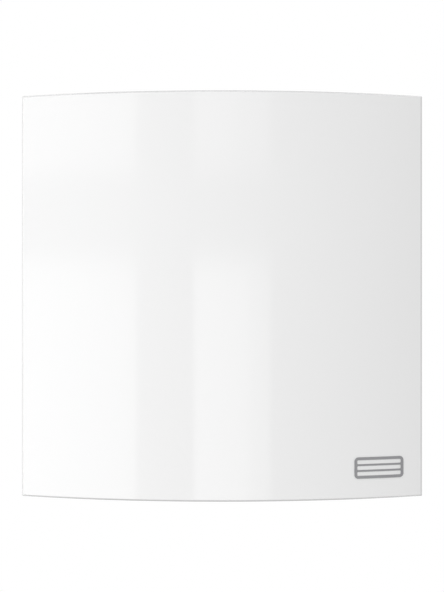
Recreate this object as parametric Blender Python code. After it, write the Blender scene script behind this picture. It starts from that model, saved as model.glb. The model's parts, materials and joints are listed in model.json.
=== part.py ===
"""Through-wall heat recovery ventilator for one room, with a bowed square front panel.

Everything is modelled in the wall's own frame, which the empty "unit" carries: local X is to the right as
seen from the room, local Y is up, and local Z is the distance out of the wall into the room. The duct, the
regenerator and the outdoor cowl therefore lie at negative Z. In world space the room is towards -Y, +Z is
up, and the origin is the centre of the duct's hole in the face of the indoor wall. Lengths are in metres.
"""

import math

import bmesh
import bpy
from mathutils import Matrix, Vector

MM = 0.001

# --- clearances -------------------------------------------------------------------------------------------
GAP = 0.3 * MM  # between pieces that rest on or fit into each other
RUNNING = 0.35 * MM  # round a pin that turns or slides in its hole
BITE = 0.8 * MM  # how far shapes of one piece reach into each other

# --- roundness --------------------------------------------------------------------------------------------
ROUND_LARGE = 40
ROUND_MEDIUM = 24
ROUND_SMALL = 10
CORNER_STEPS = 4

# --- the wall and its duct --------------------------------------------------------------------------------
WALL_DEPTH = 280 * MM
DUCT_RADIUS = 62.5 * MM
DUCT_WALL = 2.0 * MM
DUCT_SHORT = 0.6 * MM  # each end of the duct stays this far inside the wall
SPIGOT_WALL = 2.2 * MM
DUCT_BORE = DUCT_RADIUS - DUCT_WALL
SPIGOT_RADIUS = DUCT_BORE - GAP
SPIGOT_BORE = SPIGOT_RADIUS - SPIGOT_WALL
CARTRIDGE_RADIUS = SPIGOT_BORE - 0.6 * MM  # what slides in and out through the spigot

# --- casing on the indoor wall ----------------------------------------------------------------------------
CASING_SIZE = 178 * MM
CASING_DEPTH = 34 * MM
CASING_WALL = 2.5 * MM
CASING_CORNER = 10 * MM
CASING_EDGE = 2.0 * MM
CASING_OFF_WALL = 0.5 * MM
CASING_HALF = CASING_SIZE / 2
CASING_INSIDE = CASING_HALF - CASING_WALL
CASING_CEILING = CASING_DEPTH - CASING_WALL  # inner side of its front

# --- wall plate -------------------------------------------------------------------------------------------
PLATE_SIZE = 2 * (CASING_INSIDE - 0.7 * MM)
PLATE_DEPTH = 3.0 * MM
PLATE_COLLAR = 14 * MM
GASKET_RADIUS = 68 * MM
GASKET_WIDTH = 3.6 * MM
GASKET_DEPTH = 1.4 * MM
WALL_SCREW_X = 73 * MM
WALL_SCREW_Y = 30 * MM
LUG_X = 56 * MM
LUG_SIZE = (8 * MM, 9 * MM, 13 * MM)
CABLE_HOLE_RADIUS = 6 * MM
CABLE_HOLE = (-72 * MM, -55 * MM)

# --- screws: (shank radius, length, head radius, head height) ---------------------------------------------
WALL_SCREW = (2.0 * MM, 30 * MM, 3.9 * MM, 2.6 * MM)
CASING_SCREW = (1.4 * MM, 11 * MM, 2.7 * MM, 1.8 * MM)
SCREW_HOLE_SLACK = 0.4 * MM

# --- shutter ----------------------------------------------------------------------------------------------
BLADE_COUNT = 5
BLADE_PITCH = 22 * MM
BLADE_SLIT = 0.6 * MM
BLADE_LENGTH = 105.6 * MM
BLADE_EDGE = 1.3 * MM
BLADE_ROOT = 3.2 * MM
BLADE_CHORD = BLADE_PITCH - BLADE_SLIT
PIVOT_RADIUS = 1.5 * MM
PIVOT_OUT = 17 * MM  # the blades' axes, from the wall
FRAME_WALL = 2.4 * MM
FRAME_SIDE_ROOM = 4.2 * MM  # between the blades' ends and the frame, for the levers and the link
FRAME_BORE_X = BLADE_LENGTH / 2 + FRAME_SIDE_ROOM
FRAME_BORE_Y = BLADE_COUNT * BLADE_PITCH / 2 + 0.2 * MM
FRAME_X = FRAME_BORE_X + FRAME_WALL
FRAME_Y = FRAME_BORE_Y + FRAME_WALL
OPENING_X = BLADE_LENGTH / 2 + 1.2 * MM
OPENING_Y = FRAME_BORE_Y - 1.2 * MM
CRANK = 8 * MM
CRANK_ANGLE = math.radians(-130)  # from up, towards the room; it swings through 80 degrees about the wall side
CRANK_PIN = 1.1 * MM
LEVER_DEPTH = 1.4 * MM
LEVER_HALF_WIDTH = 2.4 * MM
LINK_DEPTH = 1.5 * MM
LINK_HALF_WIDTH = 2.3 * MM
LINK_OFF_LEVER = 0.4 * MM
ACTUATOR_SIZE = (20 * MM, 27 * MM, 21 * MM)

# --- front panel ------------------------------------------------------------------------------------------
PANEL_WIDTH = 200 * MM
PANEL_HEIGHT = 200 * MM
PANEL_BOW = 24 * MM
PANEL_WALL = 2.5 * MM
PANEL_RIM = 5.0 * MM  # how deep the rim is, front to back
PANEL_RIM_WALL = 2.0 * MM
PANEL_EDGE = 0.7 * MM
PANEL_STEPS = 20
AIR_GAP = 8.0 * MM  # between the casing's front and the panel's rim
PANEL_RIM_BACK = CASING_DEPTH + AIR_GAP
PANEL_APEX = PANEL_RIM_BACK + PANEL_RIM + PANEL_BOW
PANEL_RADIUS = ((PANEL_WIDTH / 2) ** 2 + PANEL_BOW**2) / (2 * PANEL_BOW)
STUD_X = 70 * MM
STUD_Y = 70 * MM
STUD_RADIUS = 3.2 * MM
STUD_TIP_RADIUS = 2.2 * MM
STUD_DEPTH = 10 * MM  # how far it reaches into the casing
CLIP_WALL = 1.6 * MM
CLIP_FLANGE = 2.4 * MM
CLIP_DEPTH = 11.5 * MM
CLIP_SLIT = 1.4 * MM
BADGE_AT = (77.5 * MM, -84.5 * MM)
BADGE_SIZE = (25 * MM, 10.5 * MM)
BADGE_OFF = 0.05 * MM
BADGE_PROUD = 0.35 * MM
BADGE_LINE = 1.6 * MM
BADGE_BAR = 1.1 * MM

# --- controls ---------------------------------------------------------------------------------------------
ROCKER_RADIUS = 8.4 * MM
ROCKER_WIDTH = 6.6 * MM
ROCKER_SPAN = math.radians(52)
ROCKER_PROUD = 1.4 * MM
ROCKER_RIDGE = 1.2 * MM
ROCKER_PIN = 1.2 * MM
ROCKER_YS = (-49 * MM, -68 * MM)
ROCKER_AXIS_X = CASING_HALF + ROCKER_PROUD - ROCKER_RADIUS
CONTROL_OUT = 17 * MM
BUTTON_X = 20 * MM
BUTTON_RADIUS = 3.7 * MM
BUTTON_TRAVEL = 1.2 * MM
LIGHT_X = 0.0
LIGHT_RADIUS = 1.8 * MM
RECEIVER_X = -20 * MM
RECEIVER_HALF = (4.0 * MM, 2.8 * MM)
BOARD_SIZE = (100 * MM, 23 * MM, 1.6 * MM)
BOARD_Y = -72.0 * MM
BOARD_OUT = 8 * MM

# --- fan --------------------------------------------------------------------------------------------------
FAN_OUT = -18 * MM  # its room side
FAN_DEPTH = 38 * MM
FAN_WALL = 2.8 * MM
FAN_BORE = CARTRIDGE_RADIUS - FAN_WALL
TIP_CLEARANCE = 1.2 * MM
HUB_RADIUS = 24 * MM
HUB_WALL = 2.0 * MM
HUB_DEPTH = 25 * MM
HUB_OFF_BRACKET = 2.4 * MM
BRACKET_RADIUS = 19 * MM
BRACKET_DEPTH = 3 * MM
STRUT_COUNT = 4
STRUT_WIDTH = 5 * MM
FAN_BLADES = 7
FAN_BLADE_DEPTH = 1.5 * MM
HUB_CHORD, TIP_CHORD = 26 * MM, 36 * MM
HUB_PITCH, TIP_PITCH = math.radians(48), math.radians(27)
SHAFT_RADIUS = 1.5 * MM
BEARING_RADIUS = 3.8 * MM
BEARING_DEPTH = 3.0 * MM
BEARING_TUBE_WALL = 1.8 * MM
CUP_WALL = 1.2 * MM
MAGNET_DEPTH = 2.0 * MM
STATOR_GAP = 0.6 * MM
STATOR_TEETH = 9
LEAD_RADIUS = 0.9 * MM

# --- regenerator and filters ------------------------------------------------------------------------------
FILTER_DEPTH = 9 * MM
FILTER_RIM = 4.0 * MM
FILTER_SPACE = 4 * MM
FILTER_BARS = 5
FILTER_BAR = 2.0 * MM
SLEEVE_DEPTH = 160 * MM
SLEEVE_WALL = 6.0 * MM
SLEEVE_LIP = 3.0 * MM
CELL_PITCH = 11 * MM
CELL_SIZE = 9.2 * MM
SEAL_DEPTH = 5 * MM
INDOOR_FILTER_OUT = FAN_OUT - FAN_DEPTH - FILTER_SPACE
SLEEVE_OUT = INDOOR_FILTER_OUT - FILTER_DEPTH - FILTER_SPACE
OUTDOOR_FILTER_OUT = SLEEVE_OUT - SLEEVE_DEPTH - FILTER_SPACE

# --- outdoor cowl -----------------------------------------------------------------------------------------
COWL_SIZE = 160 * MM
COWL_DEPTH = 50 * MM
COWL_WALL = 2.2 * MM
COWL_SHOULDER = 14 * MM  # depth of the cowl at its top edge
COWL_BREAK_Y = -14 * MM  # where the sloping top meets the upright front
COWL_EDGE = 4.0 * MM
HOOD_GASKET_DEPTH = 2.0 * MM
HOOD_PLATE_DEPTH = 3.0 * MM
HOOD_SPIGOT = 16 * MM
HOOD_SCREW_AT = 66 * MM
HOOD_LUG_Y = -34 * MM
GRILLE_BARS = 4
GRILLE_BAR = 2.0 * MM
GRILLE_DEPTH = 4.0 * MM
GRILLE_UP = 2.0 * MM  # how far the grille sits above the cowl's lower edge
OUTER_WALL = -WALL_DEPTH
HOOD_FACE = OUTER_WALL - HOOD_GASKET_DEPTH - GAP  # the hood plate's side towards the wall
HOOD_PLATE_SIZE = COWL_SIZE - 2 * (COWL_WALL + GAP)

UPRIGHT = (0.0, 0.0, 0.0)
ALONG_X = (0.0, math.pi / 2, 0.0)  # turns a shape's +Z to +X
UPWARDS = (-math.pi / 2, 0.0, 0.0)  # turns a shape's +Z to +Y


# --- finishes ---------------------------------------------------------------------------------------------
def finish(name, colour, roughness, metallic=0.0):
    made = bpy.data.materials.new(name)
    made.use_nodes = True
    shader = made.node_tree.nodes["Principled BSDF"]
    shader.inputs["Base Color"].default_value = (*colour, 1.0)
    shader.inputs["Roughness"].default_value = roughness
    shader.inputs["Metallic"].default_value = metallic
    return made


def make_finishes():
    return {
        "gloss_white": finish("gloss_white", (0.86, 0.86, 0.86), 0.12),
        "satin_white": finish("satin_white", (0.80, 0.80, 0.79), 0.35),
        "grey_print": finish("grey_print", (0.33, 0.33, 0.34), 0.4),
        "grey_plastic": finish("grey_plastic", (0.42, 0.43, 0.44), 0.5),
        "black_plastic": finish("black_plastic", (0.03, 0.03, 0.035), 0.45),
        "steel": finish("steel", (0.62, 0.62, 0.63), 0.3, 1.0),
        "copper": finish("copper", (0.60, 0.28, 0.14), 0.35, 1.0),
        "magnet": finish("magnet", (0.12, 0.12, 0.13), 0.5, 0.6),
        "rubber": finish("rubber", (0.05, 0.05, 0.05), 0.8),
        "foam": finish("foam", (0.16, 0.17, 0.18), 0.95),
        "filter_fleece": finish("filter_fleece", (0.74, 0.76, 0.78), 1.0),
        "ceramic": finish("ceramic", (0.70, 0.62, 0.50), 0.85),
        "board_green": finish("board_green", (0.04, 0.20, 0.09), 0.5),
        "smoked_lens": finish("smoked_lens", (0.05, 0.02, 0.03), 0.15),
        "clear_lens": finish("clear_lens", (0.75, 0.85, 0.78), 0.2),
        "duct_white": finish("duct_white", (0.72, 0.73, 0.72), 0.45),
        "cowl_white": finish("cowl_white", (0.78, 0.78, 0.76), 0.4),
    }


# --- shapes -----------------------------------------------------------------------------------------------
def arc(centre, radius, start, end, steps):
    """Points along an arc in the XY plane, both ends included."""
    turns = [start + (end - start) * i / steps for i in range(steps + 1)]
    return [(centre[0] + radius * math.cos(a), centre[1] + radius * math.sin(a)) for a in turns]


def rounded_rectangle(half_x, half_y, radius, steps=CORNER_STEPS):
    points = []
    for quarter, (sx, sy) in enumerate(((1, 1), (-1, 1), (-1, -1), (1, -1))):
        centre = (sx * (half_x - radius), sy * (half_y - radius))
        start = quarter * math.pi / 2
        points += arc(centre, radius, start, start + math.pi / 2, steps)
    return points


def capsule(start, end, half_width, steps=8):
    """Outline of a bar with round ends, from one centre to the other."""
    along = math.atan2(end[1] - start[1], end[0] - start[0])
    far = arc(end, half_width, along - math.pi / 2, along + math.pi / 2, steps)
    near = arc(start, half_width, along + math.pi / 2, along + 3 * math.pi / 2, steps)
    return far + near


def prism(outline, low, high):
    """A flat outline in XY, pulled from one height to another."""
    bm = bmesh.new()
    face = bm.faces.new([bm.verts.new((x, y, low)) for x, y in outline])
    pulled = bmesh.ops.extrude_face_region(bm, geom=[face])["geom"]
    moved = [v for v in pulled if isinstance(v, bmesh.types.BMVert)]
    bmesh.ops.translate(bm, vec=(0, 0, high - low), verts=moved)
    bmesh.ops.recalc_face_normals(bm, faces=bm.faces)
    return bm


def block(low, high):
    """A box between two corners."""
    bm = bmesh.new()
    bmesh.ops.create_cube(bm, size=1.0)
    size = [b - a for a, b in zip(low, high)]
    middle = [(a + b) / 2 for a, b in zip(low, high)]
    bmesh.ops.transform(bm, matrix=Matrix.Translation(middle) @ Matrix.Diagonal((*size, 1)), verts=bm.verts)
    return bm


def rod(radius, low, high, steps=ROUND_SMALL, end_radius=None):
    """A round bar along Z, or a cone if its end has a radius of its own."""
    bm = bmesh.new()
    far = radius if end_radius is None else end_radius
    bmesh.ops.create_cone(
        bm, cap_ends=True, segments=steps, radius1=radius, radius2=far, depth=high - low
    )
    bmesh.ops.translate(bm, vec=(0, 0, (low + high) / 2), verts=bm.verts)
    return bm


def turned(profile, steps=ROUND_LARGE):
    """A closed outline of (radius, height) turned about Z; it may run along the axis."""
    bm = bmesh.new()
    turns = [2 * math.pi * i / steps for i in range(steps)]
    loops = []
    for r, z in profile:
        if r < 1e-9:
            loops.append([bm.verts.new((0, 0, z))] * steps)
        else:
            loops.append([bm.verts.new((r * math.cos(t), r * math.sin(t), z)) for t in turns])
    for first, second in zip(loops, loops[1:] + loops[:1]):
        for i in range(steps):
            j = (i + 1) % steps
            around = dict.fromkeys((first[i], first[j], second[j], second[i]))
            if len(around) > 2:
                bm.faces.new(around)
    bmesh.ops.recalc_face_normals(bm, faces=bm.faces)
    return bm


def ring(inner, outer, low, high, steps=ROUND_LARGE):
    return turned([(inner, low), (outer, low), (outer, high), (inner, high)], steps)


def gathered(shapes):
    """Several shapes that don't touch, as one mesh."""
    bm = bmesh.new()
    for shape in shapes:
        mesh = bpy.data.meshes.new("gathered")
        shape.to_mesh(mesh)
        shape.free()
        bm.from_mesh(mesh)
        bpy.data.meshes.remove(mesh)
    return bm


def moved(bm, at=(0, 0, 0), turn=UPRIGHT):
    x, y, z = (Matrix.Rotation(angle, 4, letter) for angle, letter in zip(turn, "XYZ"))
    bmesh.ops.transform(bm, matrix=Matrix.Translation(at) @ z @ y @ x, verts=bm.verts)
    return bm


# --- objects ----------------------------------------------------------------------------------------------
class Assembly:
    """Holds the empty that carries the unit, and the finishes."""

    def __init__(self):
        for obj in list(bpy.data.objects):
            bpy.data.objects.remove(obj, do_unlink=True)
        self.finishes = make_finishes()
        self.unit = bpy.data.objects.new("unit", None)
        bpy.context.scene.collection.objects.link(self.unit)
        self.unit.rotation_euler = (math.pi / 2, 0, 0)

    def add(self, name, bm, finish_name, at=(0, 0, 0), turn=UPRIGHT, parent=None):
        """Makes a piece from a bmesh, which is drawn round the piece's own origin."""
        mesh = bpy.data.meshes.new(name)
        bm.to_mesh(mesh)
        bm.free()
        return self.add_mesh(name, mesh, finish_name, at, turn, parent)

    def add_mesh(self, name, mesh, finish_name, at=(0, 0, 0), turn=UPRIGHT, parent=None):
        obj = bpy.data.objects.new(name, mesh)
        bpy.context.scene.collection.objects.link(obj)
        if not mesh.materials:
            mesh.materials.append(self.finishes[finish_name])
        obj.parent = parent or self.unit
        obj.location = at
        obj.rotation_euler = turn
        shade(mesh)
        return obj

    def empty(self, name, at, parent=None):
        made = bpy.data.objects.new(name, None)
        bpy.context.scene.collection.objects.link(made)
        made.parent = parent or self.unit
        made.location = at
        return made


def shade(mesh):
    mesh.shade_smooth()
    mesh.set_sharp_from_angle(angle=math.radians(32))


def settle(obj):
    """Bakes the object's modifiers into its mesh."""
    bpy.context.view_layer.update()
    graph = bpy.context.evaluated_depsgraph_get()
    old = obj.data
    obj.data = bpy.data.meshes.new_from_object(obj.evaluated_get(graph))
    obj.modifiers.clear()
    bpy.data.meshes.remove(old)
    shade(obj.data)


def boolean(obj, operation, *shapes):
    """Cuts shapes from a piece or joins them to it. Each shape is a bmesh in the piece's own frame."""
    for number, shape in enumerate(shapes):
        mesh = bpy.data.meshes.new(f"{obj.name}_tool")
        shape.to_mesh(mesh)
        shape.free()
        tool = bpy.data.objects.new(f"{obj.name}_tool", mesh)
        bpy.context.scene.collection.objects.link(tool)
        tool.parent = obj.parent
        tool.location = obj.location
        tool.rotation_euler = obj.rotation_euler
        tool.hide_render = True
        tool.display_type = "WIRE"
        modifier = obj.modifiers.new(f"{operation.lower()}_{number}", "BOOLEAN")
        modifier.operation = operation
        modifier.solver = "EXACT"
        modifier.object = tool
        settle(obj)
        bpy.data.objects.remove(tool, do_unlink=True)
        bpy.data.meshes.remove(mesh)
    return obj


def cut(obj, *shapes):
    return boolean(obj, "DIFFERENCE", *shapes)


def join(obj, *shapes):
    return boolean(obj, "UNION", *shapes)


def soften(obj, width, segments=1, angle=60):
    """Rounds every edge sharper than the angle."""
    modifier = obj.modifiers.new("edges", "BEVEL")
    modifier.width = width
    modifier.segments = segments
    modifier.limit_method = "ANGLE"
    modifier.angle_limit = math.radians(angle)
    settle(obj)
    bm = bmesh.new()
    bm.from_mesh(obj.data)
    bmesh.ops.connect_verts_nonplanar(bm, angle_limit=0.001, faces=bm.faces)
    bm.to_mesh(obj.data)
    bm.free()
    return obj


def corners(x, y):
    """The four mirrored places of (x, y), from upper left round to lower left."""
    return [(-x, y), (x, y), (x, -y), (-x, -y)]


def screw_mesh(assembly, size):
    """A pan-head screw: its seat is at Z 0, and its point is towards -Z."""
    shank, length, head, height = size
    tip = 1.6 * shank
    profile = [
        (0, -length),
        (shank, -length + tip),
        (shank, BITE),
        (0, BITE),
    ]
    dome = [(0, 0), (head, 0), (head, 0.45 * height), (0.72 * head, 0.85 * height), (0, height)]
    body = assembly.add("screw", turned(dome, ROUND_SMALL), "steel")
    join(body, turned(profile, ROUND_SMALL))
    arm, slot = 0.62 * head, 0.14 * head
    depth = 0.45 * height
    for half_x, half_y in ((arm, slot), (slot, arm)):
        cut(body, block((-half_x, -half_y, height - depth), (half_x, half_y, 2 * height)))
    mesh = body.data
    bpy.data.objects.remove(body)
    return mesh


def hollow_prism(outer, inner, low, high):
    """A wall between two outlines with the same number of points."""
    bm = bmesh.new()
    loops = [
        [bm.verts.new((x, y, z)) for x, y in outline]
        for outline, z in ((outer, low), (outer, high), (inner, high), (inner, low))
    ]
    count = len(outer)
    for first, second in zip(loops, loops[1:] + loops[:1]):
        for i in range(count):
            j = (i + 1) % count
            bm.faces.new((first[i], first[j], second[j], second[i]))
    bmesh.ops.recalc_face_normals(bm, faces=bm.faces)
    return bm


def inset(points, distance):
    """A convex outline, drawn anticlockwise, with every side moved inwards."""
    sides = []
    for start, end in zip(points, points[1:] + points[:1]):
        along = (Vector(end) - Vector(start)).normalized()
        inward = Vector((-along.y, along.x))
        sides.append((Vector(start) + inward * distance, along))
    made = []
    for (p, d), (q, e) in zip([sides[-1], *sides[:-1]], sides):
        travel = (q - p).cross(e) / d.cross(e)
        made.append(tuple(p + d * travel))
    return made


# --- indoor casing and wall plate -------------------------------------------------------------------------
FACING_DOWN = (math.pi / 2, 0.0, 0.0)  # turns a shape's +Z to -Y, and its +Y to +Z
LUG_MIDDLE = PLATE_DEPTH + LUG_SIZE[2] / 2
BOARD_POSTS = [(sx * 44 * MM, BOARD_Y + sy * 8 * MM) for sx in (-1, 1) for sy in (-1, 1)]
LEAD_NOTCH = 2.6 * MM
LEAD_NOTCH_TOP = PLATE_DEPTH + 3.6 * MM
CLIP_BORE = STUD_RADIUS + 0.5 * MM
CLIP_RADIUS = CLIP_BORE + CLIP_WALL
ROCKER_SLOT_Y = 7.7 * MM
ROCKER_SLOT_OUT = ROCKER_WIDTH / 2 + 0.5 * MM
TERMINALS_AT = (-72 * MM, -73 * MM)
TERMINALS_SIZE = (22 * MM, 15 * MM, 14 * MM)


def wall_plate(a):
    half = PLATE_SIZE / 2
    outline = rounded_rectangle(half, half, CASING_CORNER - CASING_WALL)
    plate = a.add("wall_plate", prism(outline, 0, PLATE_DEPTH), "satin_white")
    join(plate, rod(SPIGOT_RADIUS, -PLATE_COLLAR, BITE, ROUND_LARGE))
    rib_x, rib_y = FRAME_X + GAP, FRAME_Y + GAP
    rib = 1.6 * MM
    outer = rounded_rectangle(rib_x + rib, rib_y + rib, 4 * MM)
    inner = rounded_rectangle(rib_x, rib_y, 4 * MM - rib)
    join(plate, hollow_prism(outer, inner, PLATE_DEPTH - BITE, PLATE_DEPTH + 2.4 * MM))
    width, tall, deep = LUG_SIZE
    for side in (-1, 1):
        low = (side * LUG_X - width / 2, -half + 0.4 * MM, PLATE_DEPTH - BITE)
        high = (side * LUG_X + width / 2, low[1] + tall, PLATE_DEPTH + deep)
        join(plate, block(low, high))
    posts = [moved(rod(2.6 * MM, PLATE_DEPTH - BITE, BOARD_OUT - GAP), (x, y, 0)) for x, y in BOARD_POSTS]
    join(plate, gathered(posts))
    cut(plate, rod(SPIGOT_BORE, -2 * PLATE_COLLAR, 2 * PLATE_DEPTH, ROUND_LARGE))
    groove = GASKET_WIDTH / 2 + GAP
    cut(plate, ring(GASKET_RADIUS - groove, GASKET_RADIUS + groove, -MM, GASKET_DEPTH + GAP))
    hole = WALL_SCREW[0] + SCREW_HOLE_SLACK
    holes = [moved(rod(hole, -MM, 2 * PLATE_DEPTH), (x, y, 0)) for x, y in corners(WALL_SCREW_X, WALL_SCREW_Y)]
    holes.append(moved(rod(CABLE_HOLE_RADIUS, -MM, 2 * PLATE_DEPTH, ROUND_MEDIUM), (*CABLE_HOLE, 0)))
    cut(plate, gathered(holes))
    pilot = CASING_SCREW[0] + SCREW_HOLE_SLACK
    for side in (-1, 1):
        cut(plate, moved(rod(pilot, -half - MM, -half + 2 * tall), (side * LUG_X, 0, LUG_MIDDLE), UPWARDS))
    cut(plate, block((-LEAD_NOTCH, -2 * rib_y, PLATE_DEPTH), (LEAD_NOTCH, -rib_y + MM, 2 * LEAD_NOTCH_TOP)))


def wall_gasket(a):
    inner, outer = GASKET_RADIUS - GASKET_WIDTH / 2, GASKET_RADIUS + GASKET_WIDTH / 2
    a.add("wall_gasket", ring(inner, outer, 0, GASKET_DEPTH), "foam")


def casing(a):
    outline = rounded_rectangle(CASING_HALF, CASING_HALF, CASING_CORNER)
    shell = a.add("casing", prism(outline, -8 * MM, CASING_DEPTH), "satin_white")
    soften(shell, CASING_EDGE, 3)
    far = 2 * CASING_SIZE
    cut(shell, block((-far, -far, -far), (far, far, CASING_OFF_WALL)))
    hollow = rounded_rectangle(CASING_INSIDE, CASING_INSIDE, CASING_CORNER - CASING_WALL)
    cut(shell, prism(hollow, -8 * MM, CASING_CEILING))
    mouth = rounded_rectangle(OPENING_X, OPENING_Y, 3 * MM)
    cut(shell, prism(mouth, CASING_CEILING - 8 * MM, CASING_DEPTH + 8 * MM))
    reach = (CASING_CEILING - MM, CASING_DEPTH + MM)
    cut(shell, gathered(moved(rod(CLIP_RADIUS + GAP, *reach, ROUND_MEDIUM), (x, y, 0)) for x, y in corners(STUD_X, STUD_Y)))
    for y in ROCKER_YS:
        low = (CASING_INSIDE - 2 * MM, y - ROCKER_SLOT_Y, CONTROL_OUT - ROCKER_SLOT_OUT)
        high = (CASING_HALF + 2 * MM, y + ROCKER_SLOT_Y, CONTROL_OUT + ROCKER_SLOT_OUT)
        cut(shell, block(low, high))
    down = (CASING_INSIDE - 2 * MM, CASING_HALF + 2 * MM)
    holes = [
        moved(rod(BUTTON_RADIUS + RUNNING, *down, ROUND_MEDIUM), (BUTTON_X, 0, CONTROL_OUT), FACING_DOWN),
        moved(rod(LIGHT_RADIUS + GAP, *down), (LIGHT_X, 0, CONTROL_OUT), FACING_DOWN),
    ]
    pilot = CASING_SCREW[0] + SCREW_HOLE_SLACK
    holes += [moved(rod(pilot, *down), (side * LUG_X, 0, LUG_MIDDLE), FACING_DOWN) for side in (-1, 1)]
    window = rounded_rectangle(RECEIVER_HALF[0] + GAP, RECEIVER_HALF[1] + GAP, MM)
    holes.append(moved(prism(window, *down), (RECEIVER_X, 0, CONTROL_OUT), FACING_DOWN))
    cut(shell, gathered(holes))


def panel_clips(a):
    """Sprung sockets in the casing's front, one for each stud of the panel."""
    low, seat = CASING_DEPTH - CLIP_DEPTH, CASING_DEPTH + GAP
    top = seat + 1.2 * MM
    profile = [
        (CLIP_BORE, low),
        (CLIP_RADIUS - 0.5 * MM, low),
        (CLIP_RADIUS, low + 2 * MM),
        (CLIP_RADIUS, seat),
        (CLIP_RADIUS + CLIP_FLANGE, seat),
        (CLIP_RADIUS + CLIP_FLANGE, top - 0.4 * MM),
        (CLIP_RADIUS + CLIP_FLANGE - 0.4 * MM, top),
        (CLIP_BORE + 0.5 * MM, top),
        (CLIP_BORE, top - 0.5 * MM),
    ]
    clip = a.add("panel_clip_1", turned(profile, ROUND_MEDIUM - 8), "grey_plastic")
    half, far = CLIP_SLIT / 2, 2 * CLIP_RADIUS
    for reach_x, reach_y in ((half, far), (far, half)):
        cut(clip, block((-reach_x, -reach_y, low - MM), (reach_x, reach_y, CASING_CEILING - 2 * MM)))
    for number, (x, y) in enumerate(corners(STUD_X, STUD_Y), 1):
        if number == 1:
            clip.location = (x, y, 0)
        else:
            a.add_mesh(f"panel_clip_{number}", clip.data, "grey_plastic", (x, y, 0))


def fasteners(a):
    wall_screw = screw_mesh(a, WALL_SCREW)
    seat = PLATE_DEPTH + GAP
    for number, (x, y) in enumerate(corners(WALL_SCREW_X, WALL_SCREW_Y), 1):
        a.add_mesh(f"wall_screw_{number}", wall_screw, "steel", (x, y, seat))
    hood_seat = HOOD_FACE - HOOD_PLATE_DEPTH - GAP
    for number, (x, y) in enumerate(corners(HOOD_SCREW_AT, HOOD_SCREW_AT), 1):
        a.add_mesh(f"hood_screw_{number}", wall_screw, "steel", (x, y, hood_seat), (math.pi, 0, 0))
    small = screw_mesh(a, CASING_SCREW)
    for name, side in (("left", -1), ("right", 1)):
        place = (side * LUG_X, -CASING_HALF - GAP, LUG_MIDDLE)
        a.add_mesh(f"casing_screw_{name}", small, "steel", place, FACING_DOWN)
        place = (side * (COWL_SIZE / 2 + GAP), HOOD_LUG_Y, HOOD_LUG_OUT)
        a.add_mesh(f"cowl_screw_{name}", small, "steel", place, (0, side * math.pi / 2, 0))


# --- shutter ----------------------------------------------------------------------------------------------
BLADE_YS = [BLADE_PITCH * ((BLADE_COUNT - 1) / 2 - i) for i in range(BLADE_COUNT)]
DRIVER = BLADE_COUNT // 2
CRANK_UP, CRANK_OUT = CRANK * math.cos(CRANK_ANGLE), CRANK * math.sin(CRANK_ANGLE)
BLADE_END = BLADE_LENGTH / 2
LEVER_END = BLADE_END + LEVER_DEPTH
LINK_LOW = LEVER_END + LINK_OFF_LEVER
LINK_HIGH = LINK_LOW + LINK_DEPTH


def shutter_frame(a):
    low, high = PLATE_DEPTH + GAP, CASING_CEILING - GAP
    outer = rounded_rectangle(FRAME_X, FRAME_Y, 3 * MM)
    inner = rounded_rectangle(FRAME_BORE_X, FRAME_BORE_Y, 0.8 * MM)
    frame = a.add("shutter_frame", hollow_prism(outer, inner, low, high), "satin_white")
    hole, far = PIVOT_RADIUS + RUNNING, FRAME_X + MM
    near = FRAME_BORE_X - MM
    reaches = ((near, far), (-far, -near))
    cut(frame, gathered(moved(rod(hole, *r), (0, y, PIVOT_OUT), ALONG_X) for y in BLADE_YS for r in reaches))
    cut(frame, block((-LEAD_NOTCH, -2 * FRAME_Y, 0), (LEAD_NOTCH, -FRAME_BORE_Y + MM, LEAD_NOTCH_TOP)))


def shutter_blade(a, name, drive_reach):
    """One blade about its own axis, which is local X. Its outline is drawn in (wall side, up) and pulled along X."""
    edge, root, half = BLADE_EDGE / 2, BLADE_ROOT / 2, BLADE_CHORD / 2
    waist = 3 * MM
    right = [(edge, -half), (root, -waist), (root, waist), (edge, half)]
    outline = right + [(-x, -y) for x, y in right]
    blade = a.add(name, moved(prism(outline, -BLADE_END, BLADE_END), turn=ALONG_X), "satin_white")
    crank = (-CRANK_OUT, CRANK_UP)
    lever = prism(capsule((0, 0), crank, LEVER_HALF_WIDTH), BLADE_END - BITE, LEVER_END)
    join(blade, moved(lever, turn=ALONG_X))
    pin = moved(rod(CRANK_PIN, LEVER_END - BITE, LINK_HIGH + GAP), (*crank, 0))
    join(blade, moved(pin, turn=ALONG_X))
    stub_end = FRAME_X - 0.2 * MM
    join(blade, moved(rod(PIVOT_RADIUS, BLADE_END - BITE, stub_end + drive_reach), turn=ALONG_X))
    join(blade, moved(rod(PIVOT_RADIUS, -stub_end, -BLADE_END + BITE), turn=ALONG_X))
    shoulder = -FRAME_BORE_X + 0.5 * MM
    join(blade, moved(rod(2 * PIVOT_RADIUS, shoulder, -BLADE_END + BITE / 2), turn=ALONG_X))
    return blade


def shutter(a):
    plain = None
    for i, y in enumerate(BLADE_YS):
        pivot = a.empty(f"blade_pivot_{i + 1}", (0, y, PIVOT_OUT))
        name = f"shutter_blade_{i + 1}"
        if i == DRIVER:
            shutter_blade(a, name, 7 * MM).parent = pivot
        elif plain is None:
            plain = shutter_blade(a, name, 0)
            plain.parent = pivot
        else:
            a.add_mesh(name, plain.data, "satin_white", parent=pivot)


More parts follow.
